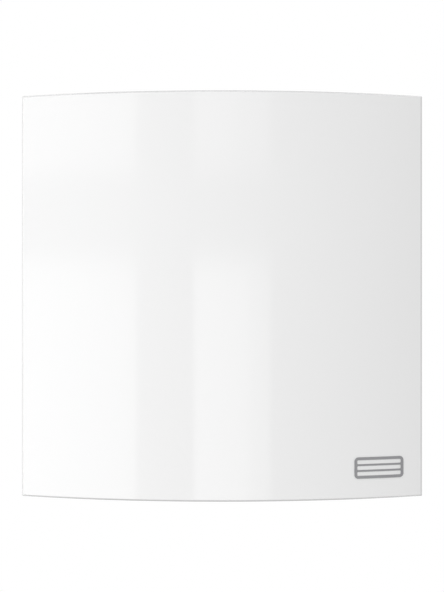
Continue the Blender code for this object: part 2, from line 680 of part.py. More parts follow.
def shutter_link(a):
    """The bar that ties the blades' cranks together, about the driven blade's crank pin."""
    ends = [(0, BLADE_YS[0] - BLADE_YS[DRIVER]), (0, BLADE_YS[-1] - BLADE_YS[DRIVER])]
    bar = moved(prism(capsule(*ends, LINK_HALF_WIDTH), LINK_LOW, LINK_HIGH), turn=ALONG_X)
    place = (0, BLADE_YS[DRIVER] + CRANK_UP, PIVOT_OUT + CRANK_OUT)
    link = a.add("shutter_link", bar, "grey_plastic", place)
    bore = CRANK_PIN + RUNNING
    reach = (LINK_LOW - MM, LINK_HIGH + MM)
    cut(link, gathered(moved(rod(bore, *reach), (0, y - BLADE_YS[DRIVER], 0), ALONG_X) for y in BLADE_YS))


def shutter_actuator(a):
    wide, tall, deep = ACTUATOR_SIZE
    start = FRAME_X + GAP
    body = block((start, -tall / 2, PIVOT_OUT - deep / 2), (start + wide, tall / 2, PIVOT_OUT + deep / 2))
    actuator = a.add("shutter_actuator", body, "black_plastic")
    soften(actuator, MM)
    ear = 5 * MM
    join(actuator, block((start, -tall / 2 - ear, PIVOT_OUT - ear), (start + 2 * MM, tall / 2 + ear, PIVOT_OUT + ear)))
    holes = [moved(rod(1.3 * MM, start - MM, start + 4 * MM), (0, s * (tall + ear) / 2, PIVOT_OUT), ALONG_X) for s in (-1, 1)]
    holes.append(moved(rod(PIVOT_RADIUS + RUNNING, start - MM, start + 9 * MM), (0, 0, PIVOT_OUT), ALONG_X))
    cut(actuator, gathered(holes))


# --- front panel ------------------------------------------------------------------------------------------
def bow(radius, half_angle):
    """The panel's curve seen from above, as (x, distance from the wall), from right to left."""
    centre = (0, PANEL_APEX - PANEL_RADIUS)
    return arc(centre, radius, math.pi / 2 - half_angle, math.pi / 2 + half_angle, PANEL_STEPS)


def bow_height(x, radius):
    return PANEL_APEX - PANEL_RADIUS + math.sqrt(radius**2 - x**2)


def front_panel(a):
    half_w, half_h = PANEL_WIDTH / 2, PANEL_HEIGHT / 2
    front = bow(PANEL_RADIUS, math.asin(half_w / PANEL_RADIUS))
    back = [(x, z - PANEL_RIM) for x, z in reversed(front)]
    carrier = a.empty("panel_carrier", (0, 0, 0))
    slab = moved(prism(front + back, -half_h, half_h), turn=FACING_DOWN)
    panel = a.add("front_panel", slab, "gloss_white", parent=carrier)
    soften(panel, PANEL_EDGE, 2)
    inner_x, inner_y = half_w - PANEL_RIM_WALL, half_h - PANEL_RIM_WALL
    under = PANEL_RIM_BACK - 20 * MM
    ceiling = bow(PANEL_RADIUS - PANEL_WALL, math.asin(inner_x / (PANEL_RADIUS - PANEL_WALL)))
    outline = ceiling + [(-inner_x, under), (inner_x, under)]
    pocket = a.add("pocket", moved(prism(outline, -inner_y, inner_y), turn=FACING_DOWN), "gloss_white")
    bosses = [moved(rod(STUD_RADIUS + 1.6 * MM, under - MM, PANEL_APEX, ROUND_MEDIUM), (x, y, 0)) for x, y in corners(STUD_X, STUD_Y)]
    cut(pocket, gathered(bosses))
    rib, rib_at, far = 0.7 * MM, 36 * MM, PANEL_WIDTH
    for side in (-1, 1):
        cut(pocket, block((side * rib_at - rib, -far, 0), (side * rib_at + rib, far, far)))
        cut(pocket, block((-far, side * rib_at - rib, 0), (far, side * rib_at + rib, far)))
    tool = bmesh.new()
    tool.from_mesh(pocket.data)
    bpy.data.objects.remove(pocket)
    cut(panel, tool)
    root = (bow_height(STUD_X, PANEL_RADIUS) + bow_height(STUD_X, PANEL_RADIUS - PANEL_WALL) - PANEL_WALL) / 2
    tip = CASING_DEPTH - STUD_DEPTH
    profile = [(0, tip), (STUD_TIP_RADIUS, tip), (STUD_RADIUS, tip + 3 * MM), (STUD_RADIUS, root), (0, root)]
    join(panel, gathered(moved(turned(profile, ROUND_SMALL), (x, y, 0)) for x, y in corners(STUD_X, STUD_Y)))


def panel_badge(a):
    """A small louvre sign printed on the panel, which follows its curve."""
    half_angle = math.asin(PANEL_WIDTH / 2 / PANEL_RADIUS)
    heights = (BADGE_OFF, BADGE_PROUD)
    near, far = (bow(PANEL_RADIUS + height, half_angle) for height in heights)
    half_x, half_y = BADGE_SIZE[0] / 2, BADGE_SIZE[1] / 2
    low, high = -BADGE_AT[1] - half_y, -BADGE_AT[1] + half_y
    skin = moved(prism(far + near[::-1], low - MM, high + MM), turn=FACING_DOWN)
    badge = a.add("panel_badge", skin, "grey_print", parent=bpy.data.objects["panel_carrier"])
    outline = rounded_rectangle(half_x, half_y, 2 * MM)
    boolean(badge, "INTERSECT", moved(prism(outline, 0, 2 * PANEL_APEX), (*BADGE_AT, 0)))
    window_x, inside = half_x - BADGE_LINE, 2 * (half_y - BADGE_LINE)
    pitch = (inside + BADGE_BAR) / 3
    window_y = (pitch - BADGE_BAR) / 2
    windows = [
        moved(prism(rounded_rectangle(window_x, window_y, 0.4 * MM, 3), 0, 2 * PANEL_APEX), (BADGE_AT[0], BADGE_AT[1] + i * pitch, 0))
        for i in (-1, 0, 1)
    ]
    cut(badge, gathered(windows))


# --- controls and electronics -----------------------------------------------------------------------------
BUTTON_STEM_END = -CASING_INSIDE + 4.6 * MM
CHEEK = 1.2 * MM
CHEEK_GAP = 0.3 * MM


def rocker(a, name, y):
    """A three-position rocker about its own axis, which is local Z."""
    rim = arc((0, 0), ROCKER_RADIUS, -ROCKER_SPAN, ROCKER_SPAN, 14)
    hub = arc((0, 0), 2.8 * MM, ROCKER_SPAN + 0.6, 2 * math.pi - ROCKER_SPAN - 0.6, 8)
    half = ROCKER_WIDTH / 2
    pivot = a.empty(f"{name}_pivot", (ROCKER_AXIS_X, y, CONTROL_OUT))
    made = a.add(name, prism(rim + hub, -half, half), "grey_plastic", parent=pivot)
    join(made, block((ROCKER_RADIUS - MM, -0.9 * MM, -half + MM), (ROCKER_RADIUS + ROCKER_RIDGE, 0.9 * MM, half - MM)))
    pin = half + CHEEK_GAP + CHEEK - 0.2 * MM
    join(made, rod(ROCKER_PIN, -pin, pin))


def rocker_block(a):
    """The socket block behind the casing's side, with cheeks that carry both rockers' pins."""
    low_x, high_x = ROCKER_AXIS_X - 13 * MM, CASING_INSIDE - 0.6 * MM
    margin = 9.2 * MM
    low_y, high_y = ROCKER_YS[1] - margin, ROCKER_YS[0] + margin
    inside = ROCKER_WIDTH / 2 + CHEEK_GAP
    outside = inside + CHEEK
    made = a.add("rocker_block", block((low_x, low_y, CONTROL_OUT - outside), (high_x, high_y, CONTROL_OUT + outside)), "black_plastic")
    cut(made, block((low_x + 2 * MM, low_y + MM, CONTROL_OUT - inside), (high_x + MM, high_y - MM, CONTROL_OUT + inside)))
    bore = ROCKER_PIN + RUNNING
    reach = (CONTROL_OUT - outside - MM, CONTROL_OUT + outside + MM)
    cut(made, gathered(moved(rod(bore, *reach), (ROCKER_AXIS_X, y, 0)) for y in ROCKER_YS))


def pairing_button(a):
    """A push button in the casing's underside. Its own origin is at the casing's inner face, facing down."""
    proud, flange, stem = BUTTON_TRAVEL, BUTTON_RADIUS + 1.3 * MM, 1.5 * MM
    inner = -0.6 * MM
    stem_end = -CASING_INSIDE - BUTTON_STEM_END
    profile = [
        (0, CASING_WALL + proud),
        (0, stem_end),
        (stem, stem_end),
        (stem, inner - MM),
        (flange, inner - MM),
        (flange, inner),
        (BUTTON_RADIUS, inner),
        (BUTTON_RADIUS, CASING_WALL + proud - 0.4 * MM),
        (BUTTON_RADIUS - 0.4 * MM, CASING_WALL + proud),
    ]
    a.add("pairing_button", turned(profile, ROUND_MEDIUM - 4), "grey_plastic", (BUTTON_X, -CASING_INSIDE, CONTROL_OUT), FACING_DOWN)


def status_light(a):
    profile = [
        (0, CASING_WALL + 0.3 * MM),
        (0, -6 * MM),
        (LIGHT_RADIUS, -6 * MM),
        (LIGHT_RADIUS, -1.6 * MM),
        (LIGHT_RADIUS + MM, -1.6 * MM),
        (LIGHT_RADIUS + MM, -0.6 * MM),
        (LIGHT_RADIUS, -0.6 * MM),
        (LIGHT_RADIUS, CASING_WALL),
        (LIGHT_RADIUS - 0.5 * MM, CASING_WALL + 0.3 * MM),
    ]
    a.add("status_light", turned(profile, ROUND_SMALL), "clear_lens", (LIGHT_X, -CASING_INSIDE, CONTROL_OUT), FACING_DOWN)


def signal_receiver(a):
    half_x, half_z = RECEIVER_HALF
    lens = prism(rounded_rectangle(half_x, half_z, 0.8 * MM), -5 * MM, CASING_WALL + 0.2 * MM)
    made = a.add("signal_receiver", lens, "smoked_lens", (RECEIVER_X, -CASING_INSIDE, CONTROL_OUT), FACING_DOWN)
    join(made, prism(rounded_rectangle(half_x + MM, half_z + MM, 1.2 * MM), -2 * MM, -0.8 * MM))


def control_board(a):
    wide, tall, thick = BOARD_SIZE
    board = block((-wide / 2, -tall / 2, 0), (wide / 2, tall / 2, thick))
    made = a.add("control_board", board, "board_green", (0, BOARD_Y, BOARD_OUT))
    sunk = thick - BITE
    transformer = block((-47 * MM, -8 * MM, sunk), (-29 * MM, 8 * MM, thick + 15 * MM))
    relay = block((-24 * MM, -2 * MM, sunk), (-12 * MM, 8 * MM, thick + 13 * MM))
    chip = block((6 * MM, 0, sunk), (13 * MM, 7 * MM, thick + MM))
    face = BUTTON_STEM_END + BUTTON_TRAVEL + GAP - BOARD_Y
    push_switch = block((BUTTON_X - 3 * MM, face, sunk), (BUTTON_X + 3 * MM, face + 4.5 * MM, CONTROL_OUT - BOARD_OUT + 3 * MM))
    connector = block((30 * MM, -3 * MM, sunk), (44 * MM, 5 * MM, thick + 8 * MM))
    capacitors = [moved(rod(4 * MM, sunk, thick + 12 * MM), (x, 5 * MM, 0)) for x in (-5 * MM, 24 * MM)]
    join(made, gathered([transformer, relay, chip, push_switch, connector, *capacitors]))


def terminal_block(a):
    wide, tall, deep = TERMINALS_SIZE
    x, y = TERMINALS_AT
    made = a.add("terminal_block", block((-wide / 2, -tall / 2, 0), (wide / 2, tall / 2, deep)), "satin_white", (x, y, PLATE_DEPTH + GAP))
    pitch = wide / 3
    for i in (-1, 0, 1):
        cut(made, moved(rod(2.2 * MM, deep - 4 * MM, deep + MM), (i * pitch, -2 * MM, 0)))
        cut(made, block((i * pitch - 2 * MM, tall / 2 - 5 * MM, 3 * MM), (i * pitch + 2 * MM, tall, 8 * MM)))


def cable_clamp(a):
    """A saddle over the hole where the fixed wiring comes out of the wall."""
    x, y = CABLE_HOLE
    half, leg = 9 * MM, 3 * MM
    base = PLATE_DEPTH + GAP
    bridge = block((-half, -3 * MM, 0), (half, 3 * MM, 9 * MM))
    made = a.add("cable_clamp", bridge, "grey_plastic", (x, y + CABLE_HOLE_RADIUS + 6 * MM, base))
    cut(made, moved(rod(4.5 * MM, -10 * MM, 10 * MM, ROUND_MEDIUM), (0, 0, leg), UPWARDS))


# --- fan --------------------------------------------------------------------------------------------------
HUB_OUT = FAN_OUT - BRACKET_DEPTH - HUB_OFF_BRACKET
HUB_BACK = HUB_OUT - HUB_DEPTH
CUP_RADIUS = HUB_RADIUS - HUB_WALL - GAP
MAGNET_RADIUS = CUP_RADIUS - CUP_WALL - GAP
STATOR_RADIUS = MAGNET_RADIUS - MAGNET_DEPTH - STATOR_GAP
BEARING_TUBE_BORE = BEARING_RADIUS + GAP
BEARING_TUBE_RADIUS = BEARING_TUBE_BORE + BEARING_TUBE_WALL
BEARING_TUBE_END = HUB_BACK + 7 * MM
BEARING_STOP = 1.5 * MM


def fan_housing(a):
    back = FAN_OUT - FAN_DEPTH
    flare = 1.2 * MM
    profile = [
        (FAN_BORE + flare, FAN_OUT),
        (CARTRIDGE_RADIUS, FAN_OUT),
        (CARTRIDGE_RADIUS, back),
        (FAN_BORE + flare, back),
        (FAN_BORE, back + 4 * MM),
        (FAN_BORE, FAN_OUT - 4 * MM),
    ]
    housing = a.add("fan_housing", turned(profile), "black_plastic")
    join(housing, rod(BRACKET_RADIUS, FAN_OUT - BRACKET_DEPTH, FAN_OUT, ROUND_MEDIUM))
    half, near, far = STRUT_WIDTH / 2, BRACKET_RADIUS - 3 * MM, FAN_BORE + 2 * MM
    low, high = FAN_OUT - BRACKET_DEPTH - 0.5 * MM, FAN_OUT - 0.5 * MM
    for i in range(STRUT_COUNT):
        strut = block((near, -half, low), (far, half, high))
        join(housing, moved(strut, turn=(0, 0, 2 * math.pi * i / STRUT_COUNT)))
    join(housing, rod(BEARING_TUBE_RADIUS, BEARING_TUBE_END, FAN_OUT - MM, ROUND_MEDIUM))
    cut(housing, rod(BEARING_TUBE_BORE, BEARING_TUBE_END - MM, FAN_OUT - BEARING_STOP, ROUND_MEDIUM))
    for reach in (13 * MM,):
        cut(housing, moved(rod(2 * LEAD_RADIUS, FAN_OUT - 2 * BRACKET_DEPTH, FAN_OUT + MM), (0, -reach, 0)))


def bearings(a):
    front = FAN_OUT - BEARING_STOP - GAP - BEARING_DEPTH
    rear = BEARING_TUBE_END + GAP
    shape = ring(SHAFT_RADIUS + GAP, BEARING_RADIUS, 0, BEARING_DEPTH, ROUND_SMALL)
    first = a.add("motor_bearing_front", shape, "steel", (0, 0, front))
    a.add_mesh("motor_bearing_rear", first.data, "steel", (0, 0, rear))


def motor_stator(a):
    """Laminated core: a hub with teeth that end in pole shoes."""
    inner, yoke = BEARING_TUBE_RADIUS + GAP, BEARING_TUBE_RADIUS + 3.4 * MM
    neck, shoe = 1.9 * MM, 2.0 * MM
    low, high = HUB_OUT - 18 * MM, HUB_OUT - 4 * MM
    stator = a.add("motor_stator", rod(yoke, low, high, ROUND_MEDIUM), "copper")
    slot = 2 * math.pi / STATOR_TEETH
    for i in range(STATOR_TEETH):
        tooth = block((yoke - MM, -neck, low), (STATOR_RADIUS - MM, neck, high))
        outer = arc((0, 0), STATOR_RADIUS, -0.38 * slot, 0.38 * slot, 4)
        inside = arc((0, 0), STATOR_RADIUS - shoe, 0.38 * slot, -0.38 * slot, 4)
        pole = prism(outer + inside, low, high)
        for shape in (tooth, pole):
            join(stator, moved(shape, turn=(0, 0, i * slot)))
    cut(stator, rod(inner, low - MM, high + MM, ROUND_MEDIUM))


def fan_blades():
    """The impeller's blades as separate closed lofts, each reaching into the hub."""
    tip_radius = FAN_BORE - TIP_CLEARANCE
    root_radius = HUB_RADIUS - HUB_WALL / 2
    middle = (HUB_OUT + HUB_BACK) / 2
    sections, across = 4, 5
    bm = bmesh.new()
    for blade in range(FAN_BLADES):
        lean = 2 * math.pi * blade / FAN_BLADES
        loops = []
        for j in range(sections):
            share = j / (sections - 1)
            radius = root_radius + (tip_radius - root_radius) * share
            chord = HUB_CHORD + (TIP_CHORD - HUB_CHORD) * share
            pitch = HUB_PITCH + (TIP_PITCH - HUB_PITCH) * share
            sweep = 0.20 * share**2
            loops.append([])
            for side, order in ((1, range(across + 1)), (-1, range(across, -1, -1))):
                for k in order:
                    s = (k / across - 0.5) * chord
                    camber = 0.06 * chord * (1 - (2 * k / across - 1) ** 2)
                    lift = camber + side * FAN_BLADE_DEPTH / 2
                    along = s * math.cos(pitch) - lift * math.sin(pitch)
                    z = middle + s * math.sin(pitch) + lift * math.cos(pitch)
                    turn = lean + sweep + along / radius
                    loops[-1].append(bm.verts.new((radius * math.cos(turn), radius * math.sin(turn), z)))
        count = len(loops[0])
        for first, second in zip(loops, loops[1:]):
            for i in range(count):
                n = (i + 1) % count
                bm.faces.new((first[i], first[n], second[n], second[i]))
        for loop in (loops[0], loops[-1]):
            for k in range(across):
                bm.faces.new((loop[k], loop[k + 1], loop[-2 - k], loop[-1 - k]))
    bmesh.ops.recalc_face_normals(bm, faces=bm.faces)
    return bm


def impeller(a):
    """Everything that turns is drawn round the shaft, which is local Z."""
    spin = a.empty("fan_axis", (0, 0, 0))
    inside = HUB_RADIUS - HUB_WALL
    profile = [
        (inside, HUB_OUT),
        (HUB_RADIUS, HUB_OUT),
        (HUB_RADIUS, HUB_BACK + 2 * MM),
        (HUB_RADIUS - 2 * MM, HUB_BACK),
        (0, HUB_BACK),
        (0, HUB_BACK + HUB_WALL),
        (inside, HUB_BACK + HUB_WALL),
    ]
    hub = a.add("impeller", turned(profile), "black_plastic", parent=spin)
    join(hub, fan_blades())
    back = HUB_BACK + HUB_WALL + GAP
    bush = SHAFT_RADIUS + GAP
    cup = [
        (CUP_RADIUS - CUP_WALL, HUB_OUT),
        (CUP_RADIUS, HUB_OUT),
        (CUP_RADIUS, back),
        (bush, back),
        (bush, back + CUP_WALL),
        (CUP_RADIUS - CUP_WALL, back + CUP_WALL),
    ]
    a.add("rotor_cup", turned(cup, ROUND_MEDIUM), "steel", parent=spin)
    magnet = ring(MAGNET_RADIUS - MAGNET_DEPTH, MAGNET_RADIUS, back + 3 * MM, HUB_OUT - MM, ROUND_MEDIUM)
    a.add("magnet_ring", magnet, "magnet", parent=spin)
    a.add("fan_shaft", rod(SHAFT_RADIUS, back, FAN_OUT - BEARING_STOP - MM), "steel", parent=spin)


def fan_seal(a):
    """Rubber lip ring between the fan housing and the duct."""
    inner, outer = CARTRIDGE_RADIUS + GAP, DUCT_BORE - GAP
    seal_ring(a, "fan_seal", inner, outer, FAN_OUT - 6 * MM)
    seal_ring(a, "regenerator_seal", inner, outer, SLEEVE_OUT - 8 * MM)


def seal_ring(a, name, inner, outer, out):
    foot = inner + MM
    profile = [
        (inner, out - SEAL_DEPTH),
        (foot, out - SEAL_DEPTH),
        (foot, out - 2 * MM),
        (outer, out - 0.8 * MM),
        (outer, out),
        (inner, out),
    ]
    a.add(name, turned(profile), "rubber")


def motor_lead(a):
    """The motor's lead, from the board behind the shutter frame to the bracket, on one smooth curve."""
    edge = BOARD_Y + BOARD_SIZE[1] / 2
    top = BOARD_OUT + BOARD_SIZE[2] + LEAD_RADIUS + GAP
    beside = (edge - FRAME_Y) / 2
    duct_side = min(FRAME_BORE_Y, SPIGOT_BORE - 2.0 * MM)
    bracket = FAN_OUT + LEAD_RADIUS + 0.6 * MM
    route = [
        (0, edge - 3 * MM, top),
        (0, edge - 0.6 * MM, top),
        (0, beside - 0.1 * MM, top - 1.6 * MM),
        (0, beside + 0.2 * MM, top - 3.8 * MM),
        (0, -FRAME_Y + 0.2 * MM, PLATE_DEPTH + 2.0 * MM),
        (0, -duct_side, PLATE_DEPTH + 1.0 * MM),
        (0, -duct_side + 1.4 * MM, -1.5 * MM),
        (0, -duct_side + 2.2 * MM, -8 * MM),
        (0, -duct_side + 5.5 * MM, bracket + 2.4 * MM),
        (0, -duct_side + 12.2 * MM, bracket),
        (0, -30 * MM, bracket),
        (0, -19 * MM, bracket),
        (0, -14.4 * MM, bracket - 0.2 * MM),
        (0, -13 * MM, bracket - 3 * MM),
    ]
    a.add("motor_lead", tube(smooth_route(route, 3), LEAD_RADIUS), "black_plastic")


def tube(points, radius, steps=8):
    """A round bar that follows points which all lie in the YZ plane."""
    bm = bmesh.new()
    loops = []
    for before, point, after in zip([points[0], *points], points, [*points[1:], points[-1]]):
        across = Vector((1, 0, 0))
        beside = (after - before).normalized().cross(across)
        turns = [2 * math.pi * i / steps for i in range(steps)]
        loops.append([bm.verts.new(point + radius * (math.cos(t) * across + math.sin(t) * beside)) for t in turns])
    for first, second in zip(loops, loops[1:]):
        for i in range(steps):
            j = (i + 1) % steps
            bm.faces.new((first[i], first[j], second[j], second[i]))
    bm.faces.new(loops[0])
    bm.faces.new(loops[-1])
    bmesh.ops.recalc_face_normals(bm, faces=bm.faces)
    return bm


def smooth_route(route, steps):
    """Points of a Catmull-Rom curve through the route."""
    points = [Vector(p) for p in route]
    padded = [2 * points[0] - points[1], *points, 2 * points[-1] - points[-2]]
    made = []
    for p, q, r, s in zip(padded, padded[1:], padded[2:], padded[3:]):
        for i in range(steps):
            t = i / steps
            made.append(0.5 * (2 * q + (r - p) * t + (2 * p - 5 * q + 4 * r - s) * t**2 + (3 * q - p - 3 * r + s) * t**3))
    return [*made, points[-1]]


# --- duct, filters and regenerator ------------------------------------------------------------------------
def wall_duct(a):
    shape = ring(DUCT_BORE, DUCT_RADIUS, OUTER_WALL + DUCT_SHORT, -DUCT_SHORT)
    a.add("wall_duct", shape, "duct_white")


def air_filter(a, name, out):
    """A frame with bars on the room side, and the fleece pad that lies behind them."""
    bore = CARTRIDGE_RADIUS - FILTER_RIM
    frame = a.add(f"{name}_frame", ring(bore, CARTRIDGE_RADIUS, -FILTER_DEPTH, 0), "grey_plastic", (0, 0, out))
    pitch = 2 * bore / (FILTER_BARS + 1)
    half = FILTER_BAR / 2
    for i in range(FILTER_BARS):
        x = (i - (FILTER_BARS - 1) / 2) * pitch
        reach = math.sqrt(bore**2 - x**2) + 1.5 * MM
        join(frame, block((x - half, -reach, -2.6 * MM), (x + half, reach, -0.6 * MM)))
    pad = rod(bore - GAP, -FILTER_DEPTH + 0.5 * MM, -2.6 * MM - GAP, ROUND_LARGE)
    a.add(f"{name}_pad", pad, "filter_fleece", (0, 0, out))


def insulation_sleeve(a):
    """Moulded foam round the regenerator, with a lip at each end that holds it."""
    bore, lip = CARTRIDGE_RADIUS - SLEEVE_WALL, 2 * MM
    throat = bore - SLEEVE_LIP
    profile = [
        (throat, 0),
        (CARTRIDGE_RADIUS, 0),
        (CARTRIDGE_RADIUS, -SLEEVE_DEPTH),
        (throat, -SLEEVE_DEPTH),
        (throat, -SLEEVE_DEPTH + lip),
        (bore, -SLEEVE_DEPTH + lip),
        (bore, -lip),
        (throat, -lip),
    ]
    a.add("insulation_sleeve", turned(profile), "foam", (0, 0, SLEEVE_OUT))
    low, high = -SLEEVE_DEPTH + lip + GAP, -lip - GAP
    core_radius = bore - GAP
    core = a.add("regenerator_core", rod(core_radius, low, high, ROUND_LARGE), "ceramic", (0, 0, SLEEVE_OUT))
    reach = int(core_radius / CELL_PITCH)
    half, skin = CELL_SIZE / 2, 2.4 * MM
    cells = []
    for i in range(-reach, reach + 1):
        for j in range(-reach, reach + 1):
            x, y = i * CELL_PITCH, j * CELL_PITCH
            if math.hypot(abs(x) + half, abs(y) + half) < core_radius - skin:
                cells.append(block((x - half, y - half, low - MM), (x + half, y + half, high + MM)))
    cut(core, gathered(cells))


# --- outdoor hood -----------------------------------------------------------------------------------------
HOOD_BACK = HOOD_FACE - HOOD_PLATE_DEPTH
HOOD_LUG_OUT = HOOD_BACK - 7 * MM


def hood_base(a):
    half = HOOD_PLATE_SIZE / 2
    outline = rounded_rectangle(half, half, 3 * MM, 3)
    gasket = a.add("hood_gasket", prism(outline, OUTER_WALL - HOOD_GASKET_DEPTH, OUTER_WALL), "foam")
    cut(gasket, rod(DUCT_RADIUS + MM, OUTER_WALL - 10 * MM, OUTER_WALL + 10 * MM, ROUND_LARGE))
    plate = a.add("hood_base", prism(outline, HOOD_BACK, HOOD_FACE), "cowl_white")
    join(plate, rod(SPIGOT_RADIUS, HOOD_FACE - BITE, HOOD_FACE + HOOD_SPIGOT, ROUND_LARGE))
    lug = 4 * MM
    for side in (-1, 1):
        x = side * (half - lug - 0.3 * MM)
        join(plate, block((x - lug, HOOD_LUG_Y - lug, HOOD_BACK - 12 * MM), (x + lug, HOOD_LUG_Y + lug, HOOD_BACK + BITE)))
        pilot = moved(rod(CASING_SCREW[0] + SCREW_HOLE_SLACK, -3 * lug, 3 * lug), (x, HOOD_LUG_Y, HOOD_LUG_OUT), ALONG_X)
        cut(plate, pilot)
    cut(plate, rod(SPIGOT_BORE, HOOD_BACK - 10 * MM, HOOD_FACE + 2 * HOOD_SPIGOT, ROUND_LARGE))
    hole = WALL_SCREW[0] + SCREW_HOLE_SLACK
    places = corners(HOOD_SCREW_AT, HOOD_SCREW_AT)
    for obj in (plate, gasket):
        cut(obj, gathered(moved(rod(hole, OUTER_WALL - 20 * MM, OUTER_WALL + MM), (x, y, 0)) for x, y in places))


def hood_cowl(a):
    """A cowl with a sloping top and an open underside. Its side is drawn in (distance from the wall, up)."""
    half = COWL_SIZE / 2
    start = HOOD_GASKET_DEPTH + GAP
    end = start + COWL_DEPTH
    behind, below = start - 20 * MM, -half - 20 * MM
    outline = [(behind, below), (end, below), (end, COWL_BREAK_Y), (start + COWL_SHOULDER, half), (behind, half)]
    solid = moved(prism(outline, -half, half), turn=ALONG_X)
    cowl = a.add("hood_cowl", solid, "cowl_white", (0, 0, OUTER_WALL))
    soften(cowl, COWL_EDGE, 3, 18)
    far = 2 * COWL_SIZE
    cut(cowl, block((-far, -far, -start), (far, far, far)))
    cut(cowl, block((-far, -far, -far), (far, -half, far)))
    inner = inset(outline, COWL_WALL)
    spread = [(behind, below - far), (end - COWL_WALL, below - far), *inner[2:4], (behind, inner[4][1])]
    hollow = half - COWL_WALL
    cut(cowl, moved(prism(spread, -hollow, hollow), turn=ALONG_X))
    for side in (-1, 1):
        hole = rod(CASING_SCREW[0] + SCREW_HOLE_SLACK, half - 2 * COWL_WALL, half + MM)
        cut(cowl, moved(hole, (0, HOOD_LUG_Y, HOOD_LUG_OUT - OUTER_WALL), (0, side * math.pi / 2, 0)))


def hood_grille(a):
    """A barred grille across the cowl's underside."""
    half_x = COWL_SIZE / 2 - COWL_WALL - GAP
    near = HOOD_BACK - GAP
    far = OUTER_WALL - HOOD_GASKET_DEPTH - GAP - COWL_DEPTH + COWL_WALL + GAP
    low = -COWL_SIZE / 2 + GRILLE_UP
    grille = a.add("hood_grille", block((-half_x, low, far), (half_x, low + GRILLE_DEPTH, near)), "grey_plastic")
    rim = 3 * MM
    pitch = (near - far - 2 * rim + GRILLE_BAR) / (GRILLE_BARS + 1)
    slots = []
    for i in range(GRILLE_BARS + 1):
        start = far + rim + i * pitch
        for x0, x1 in ((-half_x + rim, -GRILLE_BAR / 2), (GRILLE_BAR / 2, half_x - rim)):
            slots.append(block((x0, low - MM, start), (x1, low + GRILLE_DEPTH + MM, start + pitch - GRILLE_BAR)))
    cut(grille, gathered(slots))


# --- the whole unit ---------------------------------------------------------------------------------------
def main():
    a = Assembly()
    wall_plate(a)
    wall_gasket(a)
    casing(a)
    panel_clips(a)
    shutter_frame(a)
    shutter(a)
    shutter_link(a)
    shutter_actuator(a)
    front_panel(a)
    panel_badge(a)
    for name, y in zip(("speed_rocker", "mode_rocker"), ROCKER_YS):
        rocker(a, name, y)
    rocker_block(a)
    pairing_button(a)
    status_light(a)
    signal_receiver(a)
    control_board(a)
    terminal_block(a)
    cable_clamp(a)
    fan_housing(a)
    bearings(a)
    motor_stator(a)
    impeller(a)
    fan_seal(a)
    motor_lead(a)
    wall_duct(a)
    air_filter(a, "indoor_filter", INDOOR_FILTER_OUT)
    insulation_sleeve(a)
    air_filter(a, "outdoor_filter", OUTDOOR_FILTER_OUT)
    hood_base(a)
    hood_cowl(a)
    hood_grille(a)
    fasteners(a)


main()
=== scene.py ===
"""Looks for a through-wall heat recovery ventilator: finishes, detailed pieces and the studio round them.

Shapes are drawn in the wall's own frame, as the solids are: X to the right as seen from the room, Y up, and
Z out of the wall into the room. keep() turns each finished mesh into the model's frame, where the room is
towards -Y and Z is up. Lengths are in metres.
"""

import json
import math

import bmesh
import bpy
from bpy.props import FloatProperty, FloatVectorProperty, IntProperty, PointerProperty
from mathutils import Matrix, Vector, noise

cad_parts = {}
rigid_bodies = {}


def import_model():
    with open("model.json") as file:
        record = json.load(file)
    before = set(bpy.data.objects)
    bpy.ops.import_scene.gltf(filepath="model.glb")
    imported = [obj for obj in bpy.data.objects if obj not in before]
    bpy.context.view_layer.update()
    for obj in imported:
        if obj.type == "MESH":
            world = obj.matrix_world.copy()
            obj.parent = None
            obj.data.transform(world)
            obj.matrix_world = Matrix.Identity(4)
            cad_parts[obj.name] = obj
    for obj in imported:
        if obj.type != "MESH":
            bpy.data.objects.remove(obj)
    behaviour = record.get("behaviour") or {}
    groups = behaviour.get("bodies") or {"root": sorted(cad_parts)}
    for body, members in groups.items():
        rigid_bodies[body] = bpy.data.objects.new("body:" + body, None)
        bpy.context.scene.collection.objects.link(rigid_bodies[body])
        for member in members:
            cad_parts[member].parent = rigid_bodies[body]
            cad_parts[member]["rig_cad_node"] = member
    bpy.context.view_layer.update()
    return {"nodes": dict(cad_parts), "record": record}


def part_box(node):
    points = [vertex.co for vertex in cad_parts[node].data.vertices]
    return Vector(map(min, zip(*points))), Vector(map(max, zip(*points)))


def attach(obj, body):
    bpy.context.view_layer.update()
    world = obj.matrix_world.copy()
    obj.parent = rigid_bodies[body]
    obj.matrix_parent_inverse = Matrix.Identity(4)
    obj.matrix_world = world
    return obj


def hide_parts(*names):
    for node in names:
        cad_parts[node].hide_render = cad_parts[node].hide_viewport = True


bl_info = {
    "name": "Heat Recovery Ventilator",
    "version": (1, 0, 0),
    "blender": (4, 5, 0),
    "location": "3D View > Sidebar > Ventilator",
    "description": "Builds the finished pieces of a through-wall ventilator and its studio",
    "category": "Object",
}

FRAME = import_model()

MM = 0.001
GAP = 0.3 * MM  # between two pieces that only meet
BITE = 0.8 * MM  # how far a shape runs into the one it is joined to
WALL_FRAME = Matrix.Rotation(math.pi / 2, 4, "X")
BOTH = (-1, 1)

UPRIGHT = (0.0, 0.0, 0.0)
ALONG_X = (0.0, math.pi / 2, 0.0)  # turns a shape's +Z to +X
UPWARDS = (-math.pi / 2, 0.0, 0.0)  # turns a shape's +Z to +Y
DOWNWARDS = (math.pi / 2, 0.0, 0.0)  # turns a shape's +Z to -Y


def wall_box(node):
    """A node's lowest and highest corners in the wall's frame."""
    low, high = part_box(node)
    return Vector((low[0], low[2], -high[1])), Vector((high[0], high[2], -low[1]))


